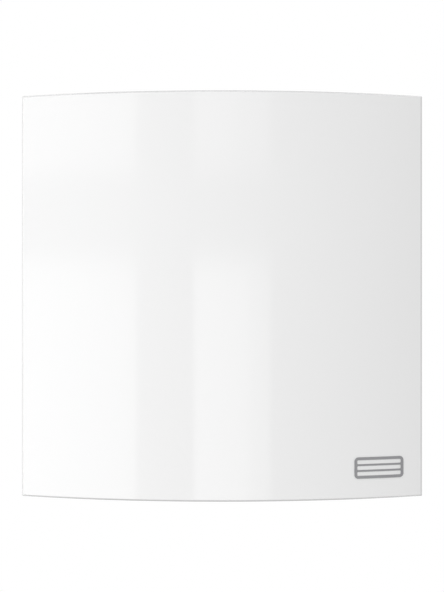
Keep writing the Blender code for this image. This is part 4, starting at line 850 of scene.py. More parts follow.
class VENTILATOR_OT_wall_plate(bpy.types.Operator):
    """Builds the wall plate with its spigot and gasket"""

    bl_idname = "ventilator.wall_plate"
    bl_label = "Wall Plate"

    def execute(self, context):
        half = PLATE_HALF
        base = plate(half, half, 0, PLATE_DEPTH, INNER_CORNER, 10)
        rounded(base, 0.4 * MM, 2, 50, lambda e: all(v.co.z > PLATE_DEPTH / 2 for v in e.verts))
        collar = bar(SPIGOT_RADIUS, -14 * MM, BITE, 128)
        rounded(collar, 0.6 * MM, 2, 50, lambda e: all(v.co.z < -13 * MM for v in e.verts))
        rib_x, rib_y, rib_wall = FRAME_HALF[0] + GAP, FRAME_HALF[1] + GAP, 1.6 * MM
        rib_ends = (PLATE_DEPTH - BITE, PLATE_DEPTH + 2.4 * MM)
        rib = plate(rib_x + rib_wall, rib_y + rib_wall, *rib_ends, 4 * MM, 6)
        rib = cut(rib, plate(rib_x, rib_y, 0, 10 * MM, 2.4 * MM, 6))
        lugs = []
        for side in BOTH:
            low = (side * LUG_X - 4 * MM, -half + 0.4 * MM, PLATE_DEPTH - BITE)
            high = (side * LUG_X + 4 * MM, -76.4 * MM, 16 * MM)
            lugs.append(rounded(block(low, high), 0.6 * MM, 3, 50))
        posts = [moved(bar(2.6 * MM, PLATE_DEPTH - BITE, 7.7 * MM), place) for place in BOARD_POSTS]
        base = join(base, collar, rib, *lugs, *posts)
        bore = [
            (0, -30 * MM),
            (SPIGOT_BORE, -30 * MM),
            (SPIGOT_BORE, 2 * MM),
            (SPIGOT_BORE + MM, PLATE_DEPTH),
            (SPIGOT_BORE + MM, 20 * MM),
            (0, 20 * MM),
        ]
        inner, outer, thick = 66.2 * MM, 69.8 * MM, 1.4 * MM
        near, far, deep = inner - GAP, outer + GAP, thick + GAP
        groove = [(near, -MM), (far, -MM), (far, deep), (near, deep)]
        tools = [lathe(bore, 128), lathe(groove, 128)]
        tools += [moved(hole(2.4 * MM, 0, PLATE_DEPTH), (x, y, 0)) for x, y in four(*WALL_SCREWS)]
        tools.append(moved(hole(6 * MM, 0, PLATE_DEPTH, 0.5 * MM, 48), (*CABLE_HOLE, 0)))
        for side in BOTH:
            drill = bar(1.8 * MM, -half - MM, -half + 18 * MM)
            tools.append(moved(drill, (side * LUG_X, 0, LUG_OUT), UPWARDS))
        tools.append(block((-LEAD_NOTCH, -80 * MM, PLATE_DEPTH), (LEAD_NOTCH, MM - rib_y, 12 * MM)))
        base = cut(base, *tools)
        keep("wall_plate_body", base, FINISHES["satin_white"], "wall_plate")
        profile = [
            (inner, 0.2 * MM),
            (inner + 0.4 * MM, 0),
            (outer - 0.4 * MM, 0),
            (outer, 0.2 * MM),
            (outer, thick),
            (inner, thick),
        ]
        keep("wall_plate_gasket", lathe(profile, 160), FINISHES["foam"], "wall_gasket")
        return {"FINISHED"}


# --- fasteners --------------------------------------------------------------------------------------------
def screw(shank, length, head, height, pitch):
    """A pan-head screw about Z, with its seat at 0, its point below and a cross pressed into its head."""
    turns = steps_of(0, math.pi / 2, 8)
    dome = [(head * math.sin(turn), height * (0.35 + 0.65 * math.cos(turn))) for turn in turns]
    profile = [(0, 0), (head, 0), (head, 0.35 * height), *dome[::-1][1:]]
    profile[-1] = (0, height)
    body = lathe(profile, 48)
    tip = 1.6 * shank
    thread = [(0, -length), (0.25 * shank, -length + 0.4 * tip)]
    out = -length + tip
    while out < -2.2 * MM:
        thread += [(0.74 * shank, out), (shank, out + 0.5 * pitch), (0.74 * shank, out + 0.98 * pitch)]
        out += pitch
    thread += [(0.8 * shank, -1.6 * MM), (0.8 * shank, 0.3 * height), (0, 0.3 * height)]
    body = join(body, lathe(thread, 28))
    arm, slot = 0.56 * head, 0.13 * head
    tools = []
    for half_x, half_y in ((arm, slot), (slot, arm)):
        tools.append(block((-half_x, -half_y, 0.5 * height), (half_x, half_y, 2 * height)))
    return cut(body, *tools)


class VENTILATOR_OT_screws(bpy.types.Operator):
    """Places the wall screws, the hood's screws and the small casing and cowl screws"""

    bl_idname = "ventilator.screws"
    bl_label = "Screws"

    def execute(self, context):
        large = screw(2.0 * MM, 30 * MM, 3.9 * MM, 2.6 * MM, 1.4 * MM)
        small = screw(1.4 * MM, 11 * MM, 2.7 * MM, 1.8 * MM, 0.8 * MM)

        def put(name, node, shape, spin, place, turn=UPRIGHT):
            keep(name, moved(moved(shape.copy(), turn=(0, 0, spin)), place, turn), FINISHES["steel"], node)

        for number, (x, y) in enumerate(four(*WALL_SCREWS), 1):
            place = (x, y, PLATE_DEPTH + GAP)
            put(f"plate_screw_{number}", f"wall_screw_{number}", large, 0.7 * number, place)
        for number, (x, y) in enumerate(four(*HOOD_SCREWS), 1):
            place = (x, y, HOOD_BACK - GAP)
            put(f"base_screw_{number}", f"hood_screw_{number}", large, 1.1 * number, place, (math.pi, 0, 0))
        for name, side in (("left", -1), ("right", 1)):
            place = (side * LUG_X, -CASING_HALF - GAP, LUG_OUT)
            put(f"lower_screw_{name}", f"casing_screw_{name}", small, 0.4, place, DOWNWARDS)
            place = (side * (COWL_HALF + GAP), *HOOD_LUG)
            put(f"side_screw_{name}", f"cowl_screw_{name}", small, 0.9, place, (0, side * math.pi / 2, 0))
        large.free()
        small.free()
        return {"FINISHED"}


# --- shutter ----------------------------------------------------------------------------------------------
class VENTILATOR_OT_shutter(bpy.types.Operator):
    """Builds the shutter's frame, its five blades, their link and the actuator"""

    bl_idname = "ventilator.shutter"
    bl_label = "Shutter"

    def execute(self, context):
        self.frame()
        for number, y in enumerate(BLADE_YS, 1):
            reach = 7 * MM if number == 3 else 0
            blade = moved(self.blade(reach), (0, y, PIVOT_OUT))
            node, body = f"shutter_blade_{number}", f"blade_{number}"
            keep(f"{body}_vane", blade, FINISHES["satin_white"], node, body, angle=40)
        self.link()
        self.actuator()
        return {"FINISHED"}

    @staticmethod
    def frame():
        low, high = PLATE_DEPTH + GAP, CASING_CEILING - GAP
        half_x, half_y = FRAME_HALF
        bore_x, bore_y = half_x - FRAME_WALL, half_y - FRAME_WALL
        body = plate(half_x, half_y, low, high, 3 * MM, 6)
        tools = [plate(bore_x, bore_y, 0, 40 * MM, 0.8 * MM, 4)]
        for y in BLADE_YS:
            for start, end in ((bore_x, half_x), (-half_x, -bore_x)):
                tools.append(moved(hole(1.85 * MM, start, end, 0.25 * MM), (0, y, PIVOT_OUT), ALONG_X))
        tools.append(block((-LEAD_NOTCH, -80 * MM, 0), (LEAD_NOTCH, MM - bore_y, 6.6 * MM)))
        body = cut(body, *tools)
        rounded(body, 0.4 * MM, 2, 60, lambda e: all(v.co.z > high - MM for v in e.verts))
        keep("shutter_surround", body, FINISHES["satin_white"], "shutter_frame")

    @staticmethod
    def blade(reach):
        """One blade about its own axis. Its section is drawn in (towards the wall, up) and pulled along X."""
        end, chord, tip, root = BLADE_END, 10.7 * MM, 0.65 * MM, 1.6 * MM
        side = []
        for share in steps_of(0, 1, 12):
            side.append((tip + (root - tip) * math.cos(math.pi / 2 * share) ** 2, (chord - tip) * share))
        for turn in steps_of(0, math.pi / 2, 6)[1:-1]:
            side.append((tip * math.cos(turn), chord - tip + tip * math.sin(turn)))
        section = side + [(0, chord)] + [(-x, y) for x, y in side[::-1]]
        section += [(-x, -y) for x, y in side[1:]] + [(0, -chord)] + [(x, -y) for x, y in side[:0:-1]]
        vane = cut_out(section, -end, end)
        rounded(vane, 0.35 * MM, 3, 60)
        up, out = CRANK
        crank = (-out, up)
        pin_end, collar_end = FRAME_HALF[0] - 0.2 * MM, FRAME_HALF[0] - FRAME_WALL - 0.5 * MM
        parts = [
            capsule((0, 0), crank, 2.4 * MM, end - BITE, end + 1.4 * MM),
            moved(bar(1.1 * MM, end, end + 3.6 * MM), (*crank, 0)),
            bar(1.5 * MM, end - BITE, pin_end + reach),
            bar(1.5 * MM, -pin_end, -end + BITE),
            bar(3.0 * MM, -collar_end, -end + BITE / 2),
        ]
        return moved(join(vane, *parts), turn=ALONG_X)

    @staticmethod
    def link():
        low, high = LINK_DEPTHS
        up, out = CRANK
        strip = capsule((0, BLADE_YS[-1]), (0, BLADE_YS[0]), 2.3 * MM, low, high)
        rounded(strip, 0.25 * MM, 2, 60)
        strip = cut(strip, *[moved(bar(1.45 * MM, low - MM, high + MM), (0, y, 0)) for y in BLADE_YS])
        strip = moved(strip, (0, up, PIVOT_OUT + out), ALONG_X)
        keep("shutter_tie", strip, FINISHES["grey_plastic"], "shutter_link", "link")

    @staticmethod
    def actuator():
        start = FRAME_HALF[0] + GAP

        def box(x0, x1, half_y, half_z):
            """A box from x0 to x1 past the frame, about the driven blade's axis."""
            return block((start + x0, -half_y, PIVOT_OUT - half_z), (start + x1, half_y, PIVOT_OUT + half_z))

        case = rounded(box(0, 20 * MM, 13.5 * MM, 10.5 * MM), 1.2 * MM, 4, 60)
        ears = rounded(box(0, 2 * MM, 18.5 * MM, 5 * MM), 0.5 * MM, 3, 60)
        seam = box(9.8 * MM, 10.1 * MM, 20 * MM, 20 * MM)
        core = box(9 * MM, 11 * MM, 13.1 * MM, 10.1 * MM)
        tools = [cut(seam, core)]
        for side in BOTH:
            drill = bar(1.3 * MM, start - MM, start + 4 * MM)
            tools.append(moved(drill, (0, side * 16 * MM, PIVOT_OUT), ALONG_X))
        tools.append(moved(bar(1.85 * MM, start - MM, start + 9 * MM), (0, 0, PIVOT_OUT), ALONG_X))
        keep("shutter_motor", cut(join(case, ears), *tools), FINISHES["black_plastic"], "shutter_actuator")


# --- controls ---------------------------------------------------------------------------------------------
class VENTILATOR_OT_controls(bpy.types.Operator):
    """Builds the rockers, their block, the button, the light and the receiver's window"""

    bl_idname = "ventilator.controls"
    bl_label = "Controls"

    def execute(self, context):
        for name, y in zip(("speed", "mode"), ROCKER_YS):
            self.rocker(name, y)
        self.rocker_block()
        self.button()
        self.light()
        self.window()
        return {"FINISHED"}

    @staticmethod
    def rocker(name, y):
        half, span = 3.3 * MM, math.radians(52)
        rim = [polar(ROCKER_RADIUS, turn) for turn in steps_of(-span, span, 28)]
        hub = [polar(2.8 * MM, turn) for turn in steps_of(span + 0.6, 2 * math.pi - span - 0.6, 12)]
        cam = rounded(cut_out(rim + hub, -half, half), 0.45 * MM, 3, 60)
        low = (ROCKER_RADIUS - MM, -0.9 * MM, MM - half)
        high = (ROCKER_RADIUS + 1.2 * MM, 0.9 * MM, half - MM)
        ridge = rounded(block(low, high), 0.35 * MM, 3, 60)
        grips = []
        for turn in (-0.5, -0.36, 0.36, 0.5):
            groove = bar(0.35 * MM, -half - MM, half + MM, 16)
            grips.append(moved(groove, (*polar(ROCKER_RADIUS + 0.1 * MM, turn), 0)))
        cam = join(cut(cam, *grips), ridge, bar(1.2 * MM, -4.6 * MM, 4.6 * MM))
        cam = moved(cam, (ROCKER_AXIS_X, y, CONTROL_OUT))
        keep(f"{name}_key", cam, FINISHES["grey_plastic"], f"{name}_rocker", f"{name}_switch")

    @staticmethod
    def rocker_block():
        low, high = wall_box("rocker_block")
        frame = rounded(block(low, high), 0.4 * MM, 2, 60)
        near, far = CONTROL_OUT - 3.6 * MM, CONTROL_OUT + 3.6 * MM
        tools = [block((low.x + 2 * MM, low.y + MM, near), (high.x + MM, high.y - MM, far))]
        for y in ROCKER_YS:
            drill = bar(1.55 * MM, CONTROL_OUT - 7 * MM, CONTROL_OUT + 7 * MM)
            tools.append(moved(drill, (ROCKER_AXIS_X, y, 0)))
        keep("key_block", cut(frame, *tools), FINISHES["black_plastic"], "rocker_block")

    @staticmethod
    def button():
        top = CASING_WALL + 1.2 * MM
        profile = [
            (0, top - 0.5 * MM),
            (1.6 * MM, top - 0.4 * MM),
            (2.9 * MM, top),
            (3.3 * MM, top),
            (3.6 * MM, top - 0.15 * MM),
            (3.7 * MM, top - 0.5 * MM),
            (3.7 * MM, -0.6 * MM),
            (5.0 * MM, -0.6 * MM),
            (5.0 * MM, -1.6 * MM),
            (1.5 * MM, -1.6 * MM),
            (1.5 * MM, -4.6 * MM),
            (0, -4.6 * MM),
        ]
        cap = moved(lathe(profile, 56), (BUTTON_X, -CASING_INSIDE, CONTROL_OUT), DOWNWARDS)
        keep("button_cap", cap, FINISHES["grey_plastic"], "pairing_button", "button")

    @staticmethod
    def light():
        profile = [
            (0, CASING_WALL + 0.3 * MM),
            (MM, CASING_WALL + 0.2 * MM),
            (1.8 * MM, CASING_WALL - 0.3 * MM),
            (1.8 * MM, -0.6 * MM),
            (2.8 * MM, -0.6 * MM),
            (2.8 * MM, -1.6 * MM),
            (1.8 * MM, -1.6 * MM),
            (1.8 * MM, -6 * MM),
            (0, -6 * MM),
        ]
        pipe = moved(lathe(profile, 40), (LIGHT_X, -CASING_INSIDE, CONTROL_OUT), DOWNWARDS)
        keep("light_pipe", pipe, FINISHES["clear_lens"], "status_light")

    @staticmethod
    def window():
        pane = rounded(
            plate(4 * MM, 2.8 * MM, -5 * MM, CASING_WALL + 0.2 * MM, 0.8 * MM, 5), 0.25 * MM, 2, 60
        )
        pane = join(pane, plate(5 * MM, 3.8 * MM, -2 * MM, -0.8 * MM, 1.2 * MM, 5))
        pane = moved(pane, (RECEIVER_X, -CASING_INSIDE, CONTROL_OUT), DOWNWARDS)
        keep("receiver_window", pane, FINISHES["smoked_lens"], "signal_receiver")


# --- fan --------------------------------------------------------------------------------------------------
def seal(out):
    """A rubber ring that grips the cartridge and runs out to a lip against the duct."""
    inner, outer = CARTRIDGE_RADIUS + GAP, DUCT_BORE - GAP
    profile = [
        (inner, out - 5 * MM),
        (inner + 0.8 * MM, out - 5 * MM),
        (inner + MM, out - 4.8 * MM),
        (inner + MM, out - 2.3 * MM),
        (inner + 1.2 * MM, out - 1.9 * MM),
        (outer - 0.1 * MM, out - 0.9 * MM),
        (outer, out - 0.7 * MM),
        (outer, out - 0.2 * MM),
        (outer - 0.2 * MM, out),
        (inner, out),
    ]
    return lathe(profile, 128)


class VENTILATOR_OT_fan(bpy.types.Operator):
    """Builds the fan: its ring with the struts, the motor and the impeller"""

    bl_idname = "ventilator.fan"
    bl_label = "Fan"

    def execute(self, context):
        self.ring()
        self.bearings()
        self.stator()
        self.rotor()
        self.impeller(context.scene.ventilator_fan)
        keep("fan_lip_seal", seal(FAN_OUT - 6 * MM), FINISHES["rubber"], "fan_seal")
        return {"FINISHED"}

    @staticmethod
    def ring():
        back, flare, mouth = FAN_LOW.z, 1.2 * MM, 4 * MM
        front_curve = []
        for turn in steps_of(0, math.pi / 2, 8):
            front_curve.append(
                (FAN_BORE + flare * (1 - math.sin(turn)), FAN_OUT - mouth * (1 - math.cos(turn)))
            )
        back_curve = [(r, FAN_OUT + back - z) for r, z in front_curve[::-1]]
        edge = 0.5 * MM
        outside = [
            (CARTRIDGE_RADIUS - edge, back),
            (CARTRIDGE_RADIUS, back + edge),
            (CARTRIDGE_RADIUS, FAN_OUT - edge),
            (CARTRIDGE_RADIUS - edge, FAN_OUT),
        ]
        ring = lathe(front_curve + back_curve + outside, 144)
        plate_depth = 3 * MM
        disc = rounded(bar(19 * MM, FAN_OUT - plate_depth, FAN_OUT, 72), 0.6 * MM, 3, 60)
        struts = []
        for quarter in range(4):
            low = (15 * MM, -2.5 * MM, FAN_OUT - 3.5 * MM)
            high = (FAN_BORE + 2 * MM, 2.5 * MM, FAN_OUT - 0.5 * MM)
            struts.append(moved(rounded(block(low, high), MM, 3, 60), turn=(0, 0, quarter * math.pi / 2)))
        tube_end = HUB_OUT - HUB_DEPTH + 7 * MM
        tube = bar(5.9 * MM, tube_end, FAN_OUT - MM, 48)
        body = join(ring, disc, *struts, tube)
        floor, above = FAN_OUT - 0.4 * MM, FAN_OUT + MM
        recess = lathe([(9 * MM, floor), (16.5 * MM, floor), (16.7 * MM, above), (8.8 * MM, above)], 72)
        bore = bar(4.1 * MM, tube_end - MM, FAN_OUT - 1.5 * MM, 48)
        lead = moved(hole(1.8 * MM, FAN_OUT - plate_depth, floor, 0.2 * MM), (0, -13 * MM, 0))
        keep("fan_ring", cut(body, recess, bore, lead), FINISHES["black_plastic"], "fan_housing")

    @staticmethod
    def bearings():
        half = [
            (1.8, 1.35),
            (1.95, 1.5),
            (2.35, 1.5),
            (2.45, 1.25),
            (3.2, 1.25),
            (3.3, 1.5),
            (3.65, 1.5),
            (3.8, 1.35),
        ]
        profile = [(r * MM, z * MM) for r, z in half + [(r, -z) for r, z in half[::-1]]]
        middles = {"front": FAN_OUT - 3.3 * MM, "rear": HUB_OUT - HUB_DEPTH + 8.8 * MM}
        for name, out in middles.items():
            bearing = moved(lathe(profile, 48), (0, 0, out))
            keep(f"bearing_{name}", bearing, FINISHES["steel"], f"motor_bearing_{name}")

    @staticmethod
    def stator():
        low, high = HUB_OUT - 18 * MM, HUB_OUT - 4 * MM
        yoke, reach, shoe, neck = 9.3 * MM, 17.6 * MM, 2 * MM, 1.9 * MM
        teeth = 9
        slot = 2 * math.pi / teeth
        corner, pinch = math.asin(neck / yoke), math.asin(neck / (reach - shoe))
        gap, spread = slot - 2 * corner, 0.38 * slot
        outline, coils = [], []
        for tooth in range(teeth):
            at = tooth * slot
            outline += [polar(yoke, at - corner - gap * (0.5 - i / 8)) for i in range(1, 4)]
            outline += [polar(yoke, at - corner), polar(reach - shoe, at - pinch)]
            outline += [polar(reach - shoe, at - spread)]
            outline += [polar(reach, turn) for turn in steps_of(at - spread, at + spread, 12)]
            outline += [polar(reach - shoe, at + spread)]
            outline += [polar(reach - shoe, at + pinch), polar(yoke, at + corner)]
            outline += [polar(yoke, at + corner + gap * i / 8) for i in range(1, 5)]
            half, inside = (high - low) / 2, 0.1 * MM
            near, far = yoke + 0.5 * MM, reach - shoe - 0.6 * MM
            coil = plate(half + 1.4 * MM, neck + 1.4 * MM, near, far, 1.3 * MM, 6)
            rounded(coil, 0.5 * MM, 3, 60)
            coil = cut(coil, plate(half + inside, neck + inside, 0, 2 * reach))
            coils.append(moved(moved(coil, (0, 0, (low + high) / 2), ALONG_X), turn=(0, 0, at)))
        core = cut(cut_out(outline, low, high), bar(6.2 * MM, low - MM, high + MM, 48))
        keep("stator_core", core, FINISHES["laminations"], "motor_stator")
        keep("stator_coils", together(coils), FINISHES["copper"], "motor_stator")

    @staticmethod
    def rotor():
        outer, wall = HUB_RADIUS - 2.3 * MM, 1.2 * MM
        back = HUB_OUT - HUB_DEPTH + 2.3 * MM
        bend = steps_of(0, math.pi / 2, 6)
        outside = [(outer - MM * (1 - math.cos(turn)), back + MM * (1 - math.sin(turn))) for turn in bend]
        inside = [(1.8 * MM, back), (1.8 * MM, back + wall), (outer - wall, back + wall)]
        cup = [(outer - wall, HUB_OUT), (outer, HUB_OUT), *outside, *inside]
        keep("rotor_can", lathe(cup, 96), FINISHES["steel"], "rotor_cup", "fan_rotor")
        near, far = outer - wall - 2.3 * MM, outer - wall - GAP
        ring = [
            (near, back + 3 * MM),
            (far, back + 3 * MM),
            (far, HUB_OUT - 1.3 * MM),
            (far - 0.3 * MM, HUB_OUT - MM),
            (near + 0.3 * MM, HUB_OUT - MM),
            (near, HUB_OUT - 1.3 * MM),
        ]
        keep("rotor_magnet", lathe(ring, 96), FINISHES["magnet"], "magnet_ring", "fan_rotor")
        shaft = rounded(bar(1.5 * MM, back, FAN_OUT - 2.5 * MM, 40), 0.25 * MM, 2, 60)
        keep("rotor_shaft", shaft, FINISHES["steel"], "fan_shaft", "fan_rotor")

    def impeller(self, size):
        back, wall = HUB_OUT - HUB_DEPTH, 2 * MM
        nose = 3 * MM
        outside = []
        for turn in steps_of(0, math.pi / 2, 8):
            outside.append((HUB_RADIUS - nose * (1 - math.cos(turn)), back + nose * (1 - math.sin(turn))))
        profile = [
            (0, back + wall),
            (HUB_RADIUS - wall - 0.6 * MM, back + wall),
            (HUB_RADIUS - wall, back + wall + 0.15 * MM),
            (HUB_RADIUS - wall, HUB_OUT),
            (HUB_RADIUS - 0.3 * MM, HUB_OUT),
            (HUB_RADIUS, HUB_OUT - 0.3 * MM),
            *outside,
            (12 * MM, back),
            (11.7 * MM, back + 0.4 * MM),
            (0, back + 0.4 * MM),
        ]
        hub = lathe(profile, 96)
        blades = [self.blade(size, 2 * math.pi * number / size.blades) for number in range(size.blades)]
        keep("fan_impeller", join(hub, *blades), FINISHES["black_plastic"], "impeller", "fan_rotor")

    @staticmethod
    def blade(size, lean):
        """A flat grid bent into a twisted, hollowed sheet and then given its thickness."""
        tip, root = FAN_BORE - 1.2 * MM, HUB_RADIUS - MM
        bm = bmesh.new()
        bmesh.ops.create_grid(bm, x_segments=16, y_segments=12, size=0.5)
        for vert in bm.verts:
            along, share = vert.co.x, vert.co.y + 0.5
            radius = root + (tip - root) * share
            chord = size.root_chord + (size.tip_chord - size.root_chord) * share
            pitch = size.root_pitch + (size.tip_pitch - size.root_pitch) * share
            across, lift = along * chord, 0.06 * chord * (1 - 4 * along**2)
            turn = lean + 0.2 * share**2 + (across * math.cos(pitch) - lift * math.sin(pitch)) / radius
            out = HUB_OUT - HUB_DEPTH / 2 + across * math.sin(pitch) + lift * math.cos(pitch)
            vert.co = (*polar(radius, turn), out)
        bmesh.ops.solidify(bm, geom=bm.faces[:], thickness=1.4 * MM)
        bmesh.ops.recalc_face_normals(bm, faces=bm.faces)
        return rounded(bm, 0.45 * MM, 3, 60)


# --- what slides into the duct ----------------------------------------------------------------------------
class VENTILATOR_OT_filters(bpy.types.Operator):
    """Builds the two air filters, each a barred frame with a fleece pad"""

    bl_idname = "ventilator.filters"
    bl_label = "Air Filters"

    def execute(self, context):
        for name in ("indoor", "outdoor"):
            low, high = wall_box(f"{name}_filter_frame")
            grid = self.frame(low.z, high.z)
            keep(f"{name}_filter_grid", grid, FINISHES["grey_plastic"], f"{name}_filter_frame")
            low, high = wall_box(f"{name}_filter_pad")
            pad = self.pad(low.z, high.z, high.x)
            keep(f"{name}_fleece", pad, FINISHES["filter_fleece"], f"{name}_filter_pad")
        return {"FINISHED"}

    @staticmethod
    def frame(low, high):
        bore, edge = CARTRIDGE_RADIUS - 4 * MM, 0.5 * MM
        profile = [
            (bore, low),
            (CARTRIDGE_RADIUS - edge, low),
            (CARTRIDGE_RADIUS, low + edge),
            (CARTRIDGE_RADIUS, high - edge),
            (CARTRIDGE_RADIUS - edge, high),
            (bore + edge, high),
            (bore, high - edge),
        ]
        bars = []
        pitch = 2 * bore / 6
        near, far = high - 2.6 * MM, high - 0.6 * MM
        for number in range(-2, 3):
            x = number * pitch
            reach = math.sqrt(bore**2 - x**2) + 1.5 * MM
            bars.append(rounded(block((x - MM, -reach, near), (x + MM, reach, far)), 0.4 * MM, 3, 60))
        hub = [(6 * MM, near), (8 * MM, near), (8 * MM, far), (6 * MM, far)]
        return join(lathe(profile, 128), *bars, lathe(hub, 48))

    @staticmethod
    def pad(low, high, radius):
        """A thick disc whose faces rise and fall with the needled fibres."""
        rings = 22
        edge = 0.8 * MM
        radii = [radius * i / rings for i in range(rings)] + [radius - edge * 0.3]
        face = [(r, high if r < radius - edge else high - 0.3 * MM) for r in radii]
        back = [(r, low + high - z) for r, z in face[::-1]]
        profile = face + [(radius, high - edge), (radius, low + edge)] + back
        bm = lathe(profile, 96)
        for vert in bm.verts:
            tuft = noise.noise(vert.co * 260.0) + 0.6 * noise.noise(vert.co * 620.0)
            inwards = -1 if vert.co.z > (low + high) / 2 else 1
            vert.co.z += inwards * 0.2 * MM * (1 + tuft)
        return bm


class VENTILATOR_OT_regenerator(bpy.types.Operator):
    """Builds the regenerator's foam sleeve, its seal and the ceramic core with its channels"""

    bl_idname = "ventilator.regenerator"
    bl_label = "Regenerator"

    def execute(self, context):
        self.sleeve()
        keep("sleeve_lip_seal", seal(SLEEVE_HIGH.z - 8 * MM), FINISHES["rubber"], "regenerator_seal")
        self.core(context.scene.ventilator_regenerator)
        return {"FINISHED"}

    @staticmethod
    def sleeve():
        low, high = SLEEVE_LOW.z, SLEEVE_HIGH.z
        bore, lip, edge = CARTRIDGE_RADIUS - 6 * MM, 2 * MM, 0.8 * MM
        throat = bore - 3 * MM
        profile = [
            (throat + edge, high),
            (CARTRIDGE_RADIUS - edge, high),
            (CARTRIDGE_RADIUS, high - edge),
            (CARTRIDGE_RADIUS, low + edge),
            (CARTRIDGE_RADIUS - edge, low),
            (throat + edge, low),
            (throat, low + edge),
            (throat, low + lip),
            (bore, low + lip),
            (bore, high - lip),
            (throat, high - lip),
            (throat, high - edge),
        ]
        seams = []
        for side in BOTH:
            near, far = side * (CARTRIDGE_RADIUS - 0.7 * MM), side * (CARTRIDGE_RADIUS + 2 * MM)
            seams.append(block((min(near, far), -0.4 * MM, low - MM), (max(near, far), 0.4 * MM, high + MM)))
        keep("regenerator_sleeve", cut(lathe(profile, 128), *seams), FINISHES["foam"], "insulation_sleeve")

    @staticmethod
    def core(size):
        low, high = wall_box("regenerator_core")
        radius = high.x
        half, skin = (size.channel_pitch - size.channel_wall) / 2, 1.6 * MM
        reach = int(radius / size.channel_pitch)
        channels = []
        for i in range(-reach, reach + 1):
            for j in range(-reach, reach + 1):
                x, y = i * size.channel_pitch, j * size.channel_pitch
                if math.hypot(abs(x) + half, abs(y) + half) < radius - skin:
                    start, end = (x - half, y - half, low.z - MM), (x + half, y + half, high.z + MM)
                    channels.append(block(start, end))
        core = rounded(bar(radius, low.z, high.z, 128), 0.5 * MM, 2, 60)
        keep("ceramic_core", cut(core, together(channels)), FINISHES["ceramic"], "regenerator_core")


